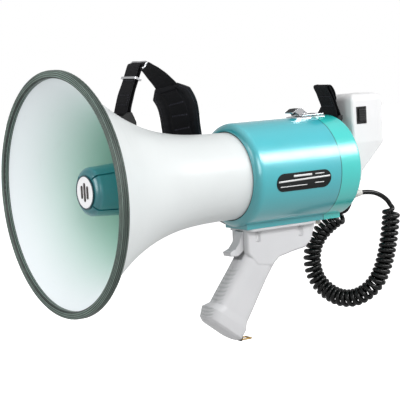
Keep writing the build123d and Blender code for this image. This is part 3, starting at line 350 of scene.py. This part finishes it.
def ribbed_grip(color):
    """The grip's white plastic, with fine ribs for the fingers moulded across its front edge."""
    n = Nodes("grip_white")
    up = n.axis("Z")
    facing = n.spread(n.dot(n.places["Normal"], (0.0, -0.94, 0.33)), 0.72, 0.9)
    stretch = n.math("MULTIPLY", n.spread(up, -0.052, -0.046), n.spread(up, 0.030, 0.022))
    place = n.math("MULTIPLY", facing, stretch)
    slope = n.math("ADD", up, n.math("MULTIPLY", n.axis("Y"), -0.35))
    ribs = n.math("SINE", n.math("MULTIPLY", slope, math.tau / GRIP_RIB_PITCH))
    tone = n.mix(n.spread(n.noise(14.0), 0.3, 0.7), shade(color, 0.95), color)
    shadowed = n.math("MULTIPLY", place, n.spread(ribs, 0.4, -0.9))
    tone = n.mix(n.math("MULTIPLY", shadowed, 0.35), tone, rgb(150, 158, 155))
    bump = n.ridge(n.math("MULTIPLY", place, ribs), 0.5, 0.0005, n.rounded(0.0028))
    bump = n.ridge(n.noise(1500.0, 2.0), 0.25, 0.00008, bump)
    return n.finish(tone, n.spread(n.noise(45.0, 5.0), 0.3, 0.7, 0.38, 0.5), bump, Specular_IOR_Level=0.4)


def brushed_label():
    """Brushed black label plate."""
    n = Nodes("label_black")
    brushed = n.noise(300.0, 4.0, (1.0, 0.04, 1.0))
    tone = n.mix(n.spread(brushed, 0.35, 0.7), rgb(9, 12, 12), rgb(24, 28, 28))
    lines = n.ridge(brushed, 0.15, 0.00005)
    return n.finish(tone, n.spread(brushed, 0.3, 0.7, 0.34, 0.48), lines, Specular_IOR_Level=0.3)


def fibre_board():
    """Green printed circuit board with paler copper runs under the mask."""
    n = Nodes("board_green")
    runs = n.add("ShaderNodeTexBrick")
    runs.inputs["Scale"].default_value = 160.0
    runs.inputs["Mortar Size"].default_value = 0.03
    n.feed(runs.inputs["Vector"], n.places["Object"])
    tone = n.mix(runs.outputs["Fac"], rgb(18, 84, 48), rgb(60, 130, 78))
    rough = n.spread(n.noise(60.0), 0.3, 0.7, 0.3, 0.45)
    return n.finish(tone, rough, n.ridge(runs.outputs["Fac"], 0.3, 0.0001))


# Each _DEEP colour is its paint's darker copy: enamel() mixes it in as painted shade low down and on
# front-facing parts, in random clouds, and at the seam line where there is one.
TEAL = rgb(50, 184, 197)
TEAL_DEEP = rgb(36, 150, 156)
COVER = rgb(40, 204, 198)
COVER_DEEP = rgb(34, 178, 172)
REFLECTOR = rgb(20, 132, 140)
REFLECTOR_DEEP = rgb(8, 90, 98)
WHITE = rgb(208, 208, 210)
MIC_WHITE = rgb(230, 230, 231)

FINISHES = {
    "horn_white": horn_plastic(),
    "rim_rubber": ribbed_rim(rgb(78, 91, 85)),
    "teal_body": enamel("teal_body", TEAL, TEAL_DEEP, SEAM_Y),
    "teal_cover": enamel("teal_cover", COVER, COVER_DEEP, SEAM_Y),
    "teal_reflector": enamel("teal_reflector", REFLECTOR, REFLECTOR_DEEP, lacquer=0.35),
    "badge_white": moulded("badge_white", rgb(236, 236, 238), 0.36, 0.05, 0.4),
    "badge_dark": moulded("badge_dark", rgb(28, 62, 70), 0.35, 0.05, 0.3),
    "grip_white": ribbed_grip(WHITE),
    "mic_white": moulded("mic_white", MIC_WHITE, 0.44, 0.35),
    "black_plastic": moulded("black_plastic", rgb(13, 14, 15), 0.4, 0.4),
    "label_black": brushed_label(),
    "chrome_plate": plated("chrome_plate", rgb(226, 227, 230), 0.12, top_painted_reflection=0.95),
    "steel_zinc": plated("steel_zinc", rgb(186, 188, 190), 0.34),
    "brass_wire": plated("brass_wire", rgb(176, 146, 92), 0.34, 0.3, rgb(110, 78, 40)),
    "hinge_beige": moulded("hinge_beige", rgb(203, 194, 180), 0.42, 0.25),
    "gland_grey": moulded("gland_grey", rgb(206, 204, 200), 0.45, 0.25),
    "seal_rubber": rubber("seal_rubber", rgb(24, 48, 48), 0.5),
    "cord_black": cable_jacket(),
    "web_black": webbing("web_black", rgb(7, 7, 12)),
    "pad_black": vinyl("pad_black", rgb(8, 8, 15)),
    "ferrite": plated("ferrite", rgb(74, 76, 80), 0.5, 0.1),
    "board_green": fibre_board(),
    "parts_dark": moulded("parts_dark", rgb(50, 54, 62), 0.4, 0.2),
    "cell_metal": plated("cell_metal", rgb(150, 156, 160), 0.36),
    "film_amber": moulded("film_amber", rgb(196, 142, 66), 0.36, 0.1, 0.3),
    "inner_grey": moulded("inner_grey", rgb(142, 148, 150), 0.5, 0.3),
}


# ---- camera, light and floor ----------------------------------------------------------------


ROOM = 11.0              # radius and height of the white room
ROOM_SIDES = 64
FLOOR_UP = -0.30
AMBIENT = 0.66
SKY_LEVELS = ((0.0, 0.92), (0.16, 1.0), (0.42, 0.66), (0.70, 0.66), (1.0, 1.45))
CAMERA_PLACE = (1.4967, -1.0560, 0.3024)


def studio():
    """A camera at the photograph's view, a pale floor and a white surround."""
    lens = bpy.data.cameras.new("camera")
    lens.lens = 135
    lens.clip_end = 50
    camera = bpy.data.objects.new("camera", lens)
    bpy.context.scene.collection.objects.link(camera)
    right = Vector((0.5593, 0.8273, -0.0540))
    up = Vector((-0.0558, 0.1025, 0.9931))
    back = Vector((0.8271, -0.5524, 0.1035))
    turned = Matrix((right, up, back)).transposed().to_4x4()
    camera.matrix_world = Matrix.Translation(CAMERA_PLACE) @ turned
    bpy.context.scene.camera = camera

    world = bpy.data.worlds.new("surround")
    bpy.context.scene.world = world
    world.use_nodes = True
    tree = world.node_tree
    sky = tree.nodes["Background"]
    sky.inputs["Strength"].default_value = AMBIENT
    ramp = tree.nodes.new("ShaderNodeValToRGB")
    split = tree.nodes.new("ShaderNodeSeparateXYZ")
    tree.links.new(tree.nodes.new("ShaderNodeTexCoord").outputs["Generated"], split.inputs[0])
    tree.links.new(split.outputs["Z"], ramp.inputs["Fac"])
    tree.links.new(ramp.outputs["Color"], sky.inputs["Color"])
    for place, _ in SKY_LEVELS[2:]:
        ramp.color_ramp.elements.new(place)
    for element, (place, level) in zip(ramp.color_ramp.elements, SKY_LEVELS):
        element.position = place
        element.color = (level, level, level, 1.0)

    n = Nodes("floor_paper")
    tone = n.mix(n.spread(n.noise(3.0), 0.3, 0.7), rgb(242, 242, 242), rgb(246, 246, 246))
    paper = n.finish(tone, 0.95, None, Specular_IOR_Level=0.0, Emission_Strength=0.70)
    n.shader.inputs["Emission Color"].default_value = (1.0, 1.0, 1.0, 1.0)
    turns = [a * math.tau / ROOM_SIDES for a in range(ROOM_SIDES)]
    rim = [Vector((ROOM * math.cos(a), ROOM * math.sin(a), FLOOR_UP)) for a in turns]
    ground = stage_mesh("floor", rim, [tuple(range(ROOM_SIDES))], paper)
    ground.visible_diffuse = False
    ground.visible_glossy = False

    n = Nodes("backdrop_white")
    backdrop = n.finish((0.0, 0.0, 0.0, 1.0), 1.0, None, Specular_IOR_Level=0.0, Emission_Strength=1.0)
    n.shader.inputs["Emission Color"].default_value = (1.0, 1.0, 1.0, 1.0)
    wall = rim + [Vector((v.x, v.y, ROOM)) for v in rim]
    faces = [tuple(range(ROOM_SIDES, 2 * ROOM_SIDES))]
    for k in range(ROOM_SIDES):
        m = (k + 1) % ROOM_SIDES
        faces.append((k, m, ROOM_SIDES + m, ROOM_SIDES + k))
    room = stage_mesh("backdrop", wall, faces, backdrop)
    room.visible_diffuse = False
    room.visible_glossy = False
    room.visible_shadow = False


def stage_mesh(name, verts, faces, material):
    """A mesh of the studio, which isn't part of the object."""
    mesh = bpy.data.meshes.new(name)
    mesh.from_pydata(verts, [], faces)
    mesh.materials.append(material)
    obj = bpy.data.objects.new(name, mesh)
    bpy.context.scene.collection.objects.link(obj)
    return obj


def softbox(name, direction, distance, size, power, along):
    """A soft box that way from the body, facing it, its first side lying along the given way."""
    light = bpy.data.lights.new(name, "AREA")
    light.shape = "RECTANGLE"
    light.size, light.size_y = size
    light.energy = power
    box = bpy.data.objects.new(name, light)
    bpy.context.scene.collection.objects.link(box)
    facing = Vector(direction).normalized()
    side = Vector(along) - facing * facing.dot(Vector(along))
    side.normalize()
    turned = Matrix((side, facing.cross(side), facing)).transposed().to_4x4()
    box.matrix_world = Matrix.Translation(at(0, 300, 0) + facing * distance) @ turned


bpy.context.scene.view_settings.view_transform = "Standard"
studio()
softbox("key_strip", (0.70, 0.50, 0.50), 1.5, (1.5, 0.42), 16.5, (0, 1, 0))
softbox("front_right", (0.90, -0.46, 0.34), 1.9, (0.9, 0.9), 8.0, (0, 1, 0))
softbox("front_left", (-0.05, -1.0, 0.30), 1.9, (1.2, 1.2), 17.0, (1, 0, 0))


# ---- meshes ---------------------------------------------------------------------------------


def piece(name, verts, faces, slot, body, uvs=None, material=None):
    """A mesh object that rides on a CAD body and takes its finish from a slot of the record."""
    mesh = bpy.data.meshes.new(name)
    mesh.from_pydata(verts, [], faces)
    mesh.polygons.foreach_set("use_smooth", [True] * len(faces))
    if uvs:
        layer = mesh.uv_layers.new(name="along_across")
        layer.data.foreach_set("uv", [c for uv in uvs for c in uv])
    mesh.materials.append(material or FINISHES[slot])
    obj = bpy.data.objects.new(name, mesh)
    bpy.context.scene.collection.objects.link(obj)
    if body:
        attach(obj, body)
    return obj


def skin(name, rings, lengths, across, slot, body, closed=False, material=None):
    """A skin over rings of points. lengths and across give the weave's two coordinates."""
    count = len(rings[0])
    faces = []
    uvs = []
    for i in range(len(rings) if closed else len(rings) - 1):
        j = (i + 1) % len(rings)
        for k in range(count):
            m = (k + 1) % count
            faces.append((i * count + k, i * count + m, j * count + m, j * count + k))
            uvs += [(lengths[i], across[k]), (lengths[i], across[m])]
            uvs += [(lengths[i + 1], across[m]), (lengths[i + 1], across[k])]
    if not closed:
        faces.append(tuple(range(count - 1, -1, -1)))
        faces.append(tuple((len(rings) - 1) * count + k for k in range(count)))
        uvs += [(0.0, a) for a in across] * 2
    verts = [v for ring in rings for v in ring]
    return piece(name, verts, faces, slot, body, uvs, material=material)


def running_length(places, closed=False):
    """Distance along the places at each of them, and back at the first one if closed."""
    lengths = [0.0]
    for a, b in zip(places, places[1:] + (places[:1] if closed else [])):
        lengths.append(lengths[-1] + (b - a).length)
    return lengths


def carried(places, first):
    """A side direction at each place, carried along the line with as little turning as it can."""
    sides = []
    side = Vector(first)
    for i in range(len(places)):
        ahead = (places[min(i + 1, len(places) - 1)] - places[max(i - 1, 0)]).normalized()
        side = (side - ahead * side.dot(ahead)).normalized()
        sides.append((side.copy(), ahead.cross(side)))
    return sides


def tube(name, places, radius, around, slot, body):
    """A round tube that follows the places."""
    rings = []
    for place, (side, over) in zip(places, carried(places, (0.3, 0.5, 0.8))):
        angles = [k * math.tau / around for k in range(around)]
        rings.append([place + (side * math.cos(a) + over * math.sin(a)) * radius for a in angles])
    across = [k * math.tau * radius / around for k in range(around)]
    return skin(name, rings, running_length(places), across, slot, body)


# ---- curly cord -----------------------------------------------------------------------------

GLAND_TAIL = (
    (0.040, 0.162, 0.1045),
    (0.040, 0.178, 0.1042),
    (0.0403, 0.195, 0.098),
    (0.041, 0.207, 0.0885),
    (0.041, 0.211, 0.078),
)
CURL = (
    (0.0415, 0.205, 0.044),
    (0.0405, 0.196, 0.010),
    (0.035, 0.185, -0.016),
    (0.018, 0.172, -0.033),
    (-0.003, 0.161, -0.037),
    (-0.023, 0.151, -0.028),
    (-0.035, 0.141, -0.009),
    (-0.0375, 0.138, 0.018),
    (-0.035, 0.145, 0.042),
    (-0.024, 0.159, 0.061),
    (-0.008, 0.171, 0.074),
)
MIC_TAIL = (
    (-0.0025, 0.1755, 0.082),
    (0.0, 0.177, 0.091),
    (0.0, 0.177, 0.0997),
)
CORD_DIAMETER = 0.006
CORD_SIDES = 12
TURN_RADIUS = 0.0088     # of the wire's middle, round the route
TURN_PITCH = 0.0071
TURN_POINTS = 22
STRAIGHT_START = 0.051   # plain cord before and after the turns, along the route
STRAIGHT_END = 0.022
LEAD_OUT = 0.013         # route on which the wire eases out to the turn's radius
ROUND_FROM = 0.003       # how far into that it starts to go round
ROUND_EASE = 0.014       # and on how much route it gets up to the full pitch


def route_line():
    """Points of the cord's smooth route, read from its NURBS spline."""
    curve = bpy.data.curves.new("cord_route", "CURVE")
    curve.dimensions = "3D"
    spline = curve.splines.new("NURBS")
    points = GLAND_TAIL + CURL + MIC_TAIL
    spline.points.add(len(points) - 1)
    for place, point in zip(points, spline.points):
        point.co = (*place, 1.0)
    spline.order_u = 3
    spline.use_endpoint_u = True
    spline.resolution_u = 24
    route = bpy.data.objects.new("cord_route", curve)
    bpy.context.scene.collection.objects.link(route)
    bpy.context.view_layer.update()
    mesh = bpy.data.meshes.new_from_object(route)
    line = [v.co.copy() for v in mesh.vertices]
    bpy.data.objects.remove(route)
    bpy.data.meshes.remove(mesh)
    return line


def curly_cord():
    """The microphone cord: plain ends, and close springy turns between them."""
    line = route_line()
    lengths = running_length(line)
    sides = carried(line, (1.0, 0.0, 0.0))
    total = lengths[-1]
    step = TURN_PITCH / TURN_POINTS
    turned = 0.0
    places = []
    gone = 0.0
    nearest = 0
    while gone < total:
        while lengths[nearest + 1] < gone:
            nearest += 1
        share = (gone - lengths[nearest]) / (lengths[nearest + 1] - lengths[nearest])
        middle = line[nearest].lerp(line[nearest + 1], share)
        side = sides[nearest][0].lerp(sides[nearest + 1][0], share).normalized()
        over = sides[nearest][1].lerp(sides[nearest + 1][1], share).normalized()
        inside = min(gone - STRAIGHT_START, total - STRAIGHT_END - gone)
        swell = min(1.0, max(0.0, inside / LEAD_OUT))
        swell = swell ** 3 * (swell * (6 * swell - 15) + 10)
        rate = min(1.0, max(0.0, (inside - ROUND_FROM) / ROUND_EASE))
        rate = rate * rate * (3 - 2 * rate)
        slack = 1.0 + 0.05 * math.sin(gone * 61.0) + 0.03 * math.sin(gone * 173.0 + 1.0)
        turned += math.tau / TURN_PITCH * step * rate * slack
        reach = TURN_RADIUS * swell
        places.append(middle + (side * math.cos(turned) + over * math.sin(turned)) * reach)
        gone += step if inside > -0.004 else 4 * step
    if (places[-1] - line[-1]).length > CORD_DIAMETER / 4:
        places.append(line[-1])
    cord = tube("curly_cord", places, CORD_DIAMETER / 2, CORD_SIDES, "cord_black", None)
    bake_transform(cord)
    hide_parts("cord_tail_gland", "cord_curl", "cord_tail_mic")


curly_cord()


# ---- shoulder strap -------------------------------------------------------------------------

WEB_HALF = 0.0135
WEB_THICK = 0.0017
STITCH_LONG = 0.0022
STITCH_RADIUS = 0.00035
PATCH_HALF = 0.0112      # half the width of a sewn patch
PATCH_LIFT = -0.0010     # its thread lies this far off the middle of the band
PATCH_THREADS = 12
SELVEDGE = (
    (-1.0, -0.35), (-0.985, -0.8), (-0.93, -1.0), (-0.6, -0.94), (-0.2, -1.0), (0.2, -1.0), (0.6, -0.94),
    (0.93, -1.0), (0.985, -0.8), (1.0, -0.35), (1.0, 0.35), (0.985, 0.8), (0.93, 1.0), (0.6, 0.94),
    (0.2, 1.0), (-0.2, 1.0), (-0.6, 0.94), (-0.93, 1.0), (-0.985, 0.8), (-1.0, 0.35),
)


def through(stations, steps, closed=False):
    """A smooth line through the stations, with steps points to each stretch."""
    known = [Vector(s) for s in stations]
    if closed:
        known = known[-1:] + known + known[:2]
    else:
        known = [known[0] * 2 - known[1]] + known + [known[-1] * 2 - known[-2]]
    line = []
    for p0, p1, p2, p3 in zip(known, known[1:], known[2:], known[3:]):
        for i in range(steps):
            t = i / steps
            bend = (p0 * 2 - p1 * 5 + p2 * 4 - p3) * t * t + (p1 * 3 - p0 - p2 * 3 + p3) * t**3
            line.append((p1 * 2 + (p2 - p0) * t + bend) / 2)
    if not closed:
        line.append(known[-2])
    return line


def strip_frames(stations, steps, closed=False):
    """Places along a band, with the way its width runs and the way its face looks at each."""
    line = through(stations, steps, closed)
    places = [at(*s[:3]) for s in line]
    frames = []
    for i, station in enumerate(line):
        if closed:
            ahead = places[(i + 1) % len(places)] - places[i - 1]
        else:
            ahead = places[min(i + 1, len(places) - 1)] - places[max(i - 1, 0)]
        ahead.normalize()
        wide = Vector(station[3:])
        wide = (wide - ahead * wide.dot(ahead)).normalized()
        frames.append((places[i], wide, ahead.cross(wide)))
    return frames


def band(name, stations, body, closed=False, steps=10):
    """A woven band with thinner, rounded edges, slightly uneven as real webbing is."""
    frames = strip_frames(stations, steps, closed)
    lengths = running_length([f[0] for f in frames], closed)
    rings = []
    for i, (place, wide, face) in enumerate(frames):
        pull = 1.0 + 0.012 * math.sin(lengths[i] * 310.0) + 0.008 * math.sin(lengths[i] * 127.0)
        lift = 0.00025 * math.sin(lengths[i] * 95.0)
        outline = [(a * WEB_HALF * pull, b * WEB_THICK / 2 + lift * a) for a, b in SELVEDGE]
        rings.append([place + wide * a + face * b for a, b in outline])
    across = [a * WEB_HALF for a, b in SELVEDGE]
    return skin(name, rings, lengths, across, "web_black", body, closed)


def stitches(name, rows, slot, body):
    """Short threads laid end to end: rows holds a line of (place, way to lie, way up) for each."""
    verts = []
    faces = []
    for place, way, up in rows:
        first = len(verts)
        end = way * STITCH_LONG / 2
        aside = way.cross(up) * STITCH_RADIUS
        high = up * STITCH_RADIUS
        verts += [place - end, place + end]
        verts += [place + aside, place + high, place - aside, place - high]
        for k in range(4):
            a = first + 2 + k
            b = first + 2 + (k + 1) % 4
            faces += [(first, a, b), (first + 1, b, a)]
    return piece(name, verts, faces, slot, body, material=THREAD)


THREAD = moulded("thread_grey", rgb(62, 62, 74), 0.6, 0.2)


def box_stitch(frames):
    """A line of thread round a sewn patch that covers the given frames."""
    rows = []
    for side in (-1, 1):
        for place, wide, face in frames:
            edge = place + wide * side * PATCH_HALF + face * PATCH_LIFT
            rows.append((edge, face.cross(wide), face))
    for place, wide, face in (frames[0], frames[-1]):
        for k in range(PATCH_THREADS):
            across = PATCH_HALF * (2 * k / (PATCH_THREADS - 1) - 1)
            rows.append((place + wide * across + face * PATCH_LIFT, wide, face))
    return rows


FRONT_LOOP = (
    (0, 88.9, 85.4, 1, 0, 0), (0, 90.7, 92.0, 1, 0, 0), (0, 95.9, 107.6, 1, 0, 0), (0, 104.4, 126.6, 1, 0, 0),
    (0, 109.2, 138.2, 1, 0, 0), (0, 112.2, 142.6, 1, 0, 0), (0, 114.6, 140.6, 1, 0, 0),
    (0, 108.4, 125.4, 1, 0, 0), (0, 100.1, 106.4, 1, 0, 0), (0, 95.3, 91.5, 1, 0, 0),
    (0, 94.9, 84.3, 1, 0, 0), (0, 91.9, 82.4, 1, 0, 0),
)
FRONT_RUN = (
    (0, 113.2, 141.4, 1, 0, 0), (-1.5, 119.0, 143.4, 1, 0.08, 0), (-4, 127.0, 142.6, 1, 0.15, 0),
    (-11, 145.0, 131.5, 0.9, 0.4, 0.1), (-20, 166.0, 115.6, 0.7, 0.7, 0.1),
    (-23.5, 172.5, 109.5, 0.66, 0.75, 0.1),
)
PAD_RUN = (
    (-21, 168.0, 114.0, 0.62, 0.78, 0.05), (-33, 190.0, 90.0, 0.55, 0.83, 0.05),
    (-55, 209.0, 56.0, 0.38, 0.88, 0.1), (-73, 228.0, 19.0, 0.08, 0.95, 0.2),
    (-77, 246.0, -18.0, 0.02, 0.93, 0.3),
)
SIDE_RUN = (
    (-76.8, 243.0, -12.0, 0.05, 0.92, 0.35), (-77.6, 250.0, -24.0, 0.05, 0.9, 0.4),
    (-77.0, 266.0, -44.0, 0, 0.8, 0.6), (-76.0, 290.0, -58.0, 0, 0.5, 0.85),
    (-75.0, 318.0, -60.0, 0, -0.1, 1), (-74.5, 344.0, -50.0, 0, -0.6, 0.8),
    (-74.0, 361.0, -30.0, 0, -0.85, 0.5), (-73.2, 375.0, -9.5, 0, -0.78, 0.62),
    (-69.5, 390.0, 6.0, -0.2, -0.6, 0.7), (-61.0, 401.0, 21.0, -0.5, -0.2, 0.8),
    (-48.0, 409.0, 38.0, -0.7, 0, 0.7), (-33.0, 412.0, 54.0, -0.8, 0.1, 0.6),
    (-19.0, 411.0, 69.0, -0.9, 0.1, 0.4), (-8.0, 406.0, 83.0, -0.98, 0.1, 0.1),
    (-2.0, 399.0, 94.5, -1, 0, 0), (0.0, 392.6, 101.0, -1, 0, 0), (0.0, 387.5, 101.4, -1, 0, 0),
)
REAR_LOOP = (
    (0, 400.8, 60.2, 1, 0, 0), (0, 399.6, 66.0, 1, 0, 0), (0, 397.2, 75.0, 1, 0, 0),
    (0, 391.0, 89.6, 1, 0, 0),
    (0, 386.2, 98.4, 1, 0, 0), (0, 387.2, 101.4, 1, 0, 0), (0, 390.0, 100.0, 1, 0, 0),
    (0, 395.2, 90.6, 1, 0, 0), (0, 401.8, 75.2, 1, 0, 0), (0, 405.4, 66.0, 1, 0, 0),
    (0, 407.0, 60.4, 1, 0, 0), (0, 404.0, 56.8, 1, 0, 0),
)


PAD_END_HALF = 0.0150    # half the pad's width at its ends
PAD_HALF = 0.0250        # and between them
PAD_CORNER = 0.085       # share of its length that a cut-off corner takes
PAD_THICK = 0.0062
PAD_WEB_HALF = 0.0105    # of the webbing sewn on both its faces
PAD_WEB_OFF = 0.0037     # that webbing's middle lies this far off the pad's
TACK_PITCH = 0.021       # between the bar tacks that hold it
TACK_THREADS = 9
BOUND_EDGE = 0.86        # share of the half width where the edge is bound


def pad_half(share):
    """Half the pad's width: cut-off corners at both ends, and a slight waist between."""
    corner = min(1.0, min(share, 1 - share) / PAD_CORNER)
    return PAD_END_HALF + (PAD_HALF - PAD_END_HALF) * corner - 0.0008 * math.sin(math.pi * share)


def pad_section(half, thick):
    """Outline of the padded band: bound edges, sewn grooves beside the middle, crowned sides."""
    outline = []
    stops = [k / 12 - 1 for k in range(25)]
    for sign in (1, -1):
        for a in stops if sign > 0 else reversed(stops):
            crown = (1 - abs(a) ** 7) ** 0.5
            sewn = math.exp(-(((abs(a) - 0.50) / 0.045) ** 2)) * 0.34
            bound = math.exp(-(((abs(a) - BOUND_EDGE) / 0.04) ** 2)) * 0.30
            outline.append((a * half, sign * thick / 2 * max(0.16, crown - sewn - bound)))
    return outline


def shoulder_pad():
    """The pad on the strap: crowned, with bound edges, a sewn-on webbing and bar tacks."""
    frames = strip_frames(PAD_RUN, 16)
    lengths = running_length([f[0] for f in frames])
    rings = []
    for length, (place, wide, face) in zip(lengths, frames):
        share = length / lengths[-1]
        thick = PAD_THICK * min(1.0, 0.35 + min(share, 1 - share) / 0.07)
        thick *= 1.0 - 0.10 * math.cos(length * math.tau / TACK_PITCH) ** 8
        rings.append([place + wide * a + face * b for a, b in pad_section(pad_half(share), thick)])
    across = [a for a, b in pad_section(PAD_HALF, PAD_THICK)]
    pad = skin("shoulder_pad_cover", rings, lengths, across, "pad_black", "housing")
    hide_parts("shoulder_pad")
    for name, sign in (("pad_web_outer", -1), ("pad_web_inner", 1)):
        side = [(p + f * sign * PAD_WEB_OFF, w, f) for p, w, f in frames[3:-3]]
        gone = running_length([f[0] for f in side])
        lifted = []
        for length, (place, wide, face) in zip(gone, side):
            hump = 0.0010 * abs(math.sin(length * math.pi / TACK_PITCH)) ** 0.5
            lifted.append((place + face * sign * hump, wide, face))
        rings = [[p + w * a * PAD_WEB_HALF + f * b * 0.0007 for a, b in SELVEDGE] for p, w, f in lifted]
        skin(name, rings, gone, [a * PAD_WEB_HALF for a, b in SELVEDGE], "web_black", "housing")
        rows = []
        for k in range(1, int(gone[-1] / TACK_PITCH) + 1):
            near = min(range(len(gone)), key=lambda i: abs(gone[i] - k * TACK_PITCH))
            place, wide, face = lifted[near]
            for offset in (-0.0008, 0.0, 0.0008):
                for j in range(TACK_THREADS):
                    middle = place + wide * 0.0021 * (j - TACK_THREADS // 2) + face.cross(wide) * offset
                    rows.append((middle + face * sign * 0.0009, wide, face * sign))
        stitches(name + "_tacks", rows, "web_black", "housing")
    rows = []
    for length, (place, wide, face) in zip(lengths, frames):
        share = length / lengths[-1]
        for side in (-1, 1):
            for sign in (-1, 1):
                edge = place + wide * side * pad_half(share) * BOUND_EDGE + face * sign * 0.0021
                rows.append((edge, face.cross(wide), face * sign))
    stitches("pad_edge_stitches", rows[8:-8], "web_black", "housing")


def straps():
    """The webbing: doubled round both lugs, single between them, with sewn patches."""
    band("front_web_loop", FRONT_LOOP, "housing", closed=True)
    run = band("front_web_run", FRONT_RUN, "housing")
    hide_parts("strap_front_web")
    shoulder_pad()
    side = band("side_web_run", SIDE_RUN, None, steps=12)
    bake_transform(side)
    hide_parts("strap_side_web", "strap_rear_web")
    band("rear_web_loop", REAR_LOOP, "rear_cover", closed=True)
    front = strip_frames(FRONT_LOOP, 6, True)
    rows = box_stitch(front[8:13]) + box_stitch(front[17:20])
    stitches("front_web_stitches", rows, "web_black", "housing")
    rear = strip_frames(REAR_LOOP, 6, True)
    rows = box_stitch(rear[48:54]) + box_stitch(rear[12:18])
    stitches("rear_web_stitches", rows, "web_black", "rear_cover")


straps()


def wire_link(name, corners, radius, slot, body):
    """A closed link of bent wire through the corners, with rounded bends."""
    line = [at(*c) for c in through(corners, 8, closed=True)]
    tube(name, line + line[:1], radius, 10, slot, body)


wire_link(
    "strap_ring",
    (
        (-15.2, 113.8, 138.2), (0, 113.8, 138.2), (15.2, 113.8, 138.2), (15.8, 117.0, 141.2),
        (15.2, 118.8, 144.8), (0, 118.8, 144.8), (-15.2, 118.8, 144.8), (-15.8, 117.0, 141.2),
    ),
    0.0011,
    "chrome_plate",
    "housing",
)


# ---- printed marks --------------------------------------------------------------------------

INK = moulded("ink_brown", rgb(58, 50, 50), 0.5, 0.1)
SILVER = moulded("ink_silver", rgb(226, 228, 228), 0.35, 0.1, 0.2)
BADGE_BARS = ((-6.4, 7.6), (0.0, 11.0), (6.4, 7.6))  # each one's x and half height, in millimetres
BAR_HALF = 1.9           # the bars' half width
BAR_BACKS = (35.35, 35.05, 34.98)
LABEL_R = 64.72          # the label lines' radius round the axis
LABEL_SUNK = 0.3
LABEL_STEPS = 24


def badge_mark():
    """Three upright rounded bars on the badge."""
    for number, (x, tall) in enumerate(BADGE_BARS):
        outline = []
        for end in (1, -1):
            for k in range(9):
                turn = math.pi * k / 8
                up = tall - BAR_HALF + BAR_HALF * math.sin(turn)
                outline.append((x + BAR_HALF * math.cos(turn) * end, end * up))
        rings = [[at(a, back, up) for a, up in outline] for back in BAR_BACKS]
        lengths = [0.001 * i for i in range(len(rings))]
        flat = [0.0] * len(outline)
        skin(f"badge_bar_{number}", rings, lengths, flat, "badge_dark", "housing", material=INK)


def label_line(name, start, end, low, high, rise=0.0):
    """A printed line on the label plate, bent round the body."""
    rings = []
    for i in range(LABEL_STEPS + 1):
        back = start + (end - start) * i / LABEL_STEPS
        lift = rise * i / LABEL_STEPS
        outline = [(LABEL_R, low + lift), (LABEL_R, high + lift)]
        outline += [(LABEL_R - LABEL_SUNK, high + lift), (LABEL_R - LABEL_SUNK, low + lift)]
        rings.append([at(math.sqrt(r * r - u * u), back, u) for r, u in outline])
    lengths = [0.001 * i for i in range(len(rings))]
    skin(name, rings, lengths, [0.0] * 4, "label_black", "housing", material=SILVER)


badge_mark()
label_line("label_stripe", 265.5, 344.0, -8.9, -6.7, 1.6)
label_line("label_thin_stripe", 268.5, 309.0, -14.6, -13.5)
label_line("label_end_stripe", 321.0, 335.0, -13.6, -12.4)
label_line("label_upper_bar", 288.0, 316.0, -3.4, -0.8)
label_line("label_upper_end", 321.0, 335.0, -2.6, -1.4)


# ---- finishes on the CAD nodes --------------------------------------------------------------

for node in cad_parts.values():
    for held in node.material_slots:
        held.material = FINISHES[held.material.name.split(".")[0]]
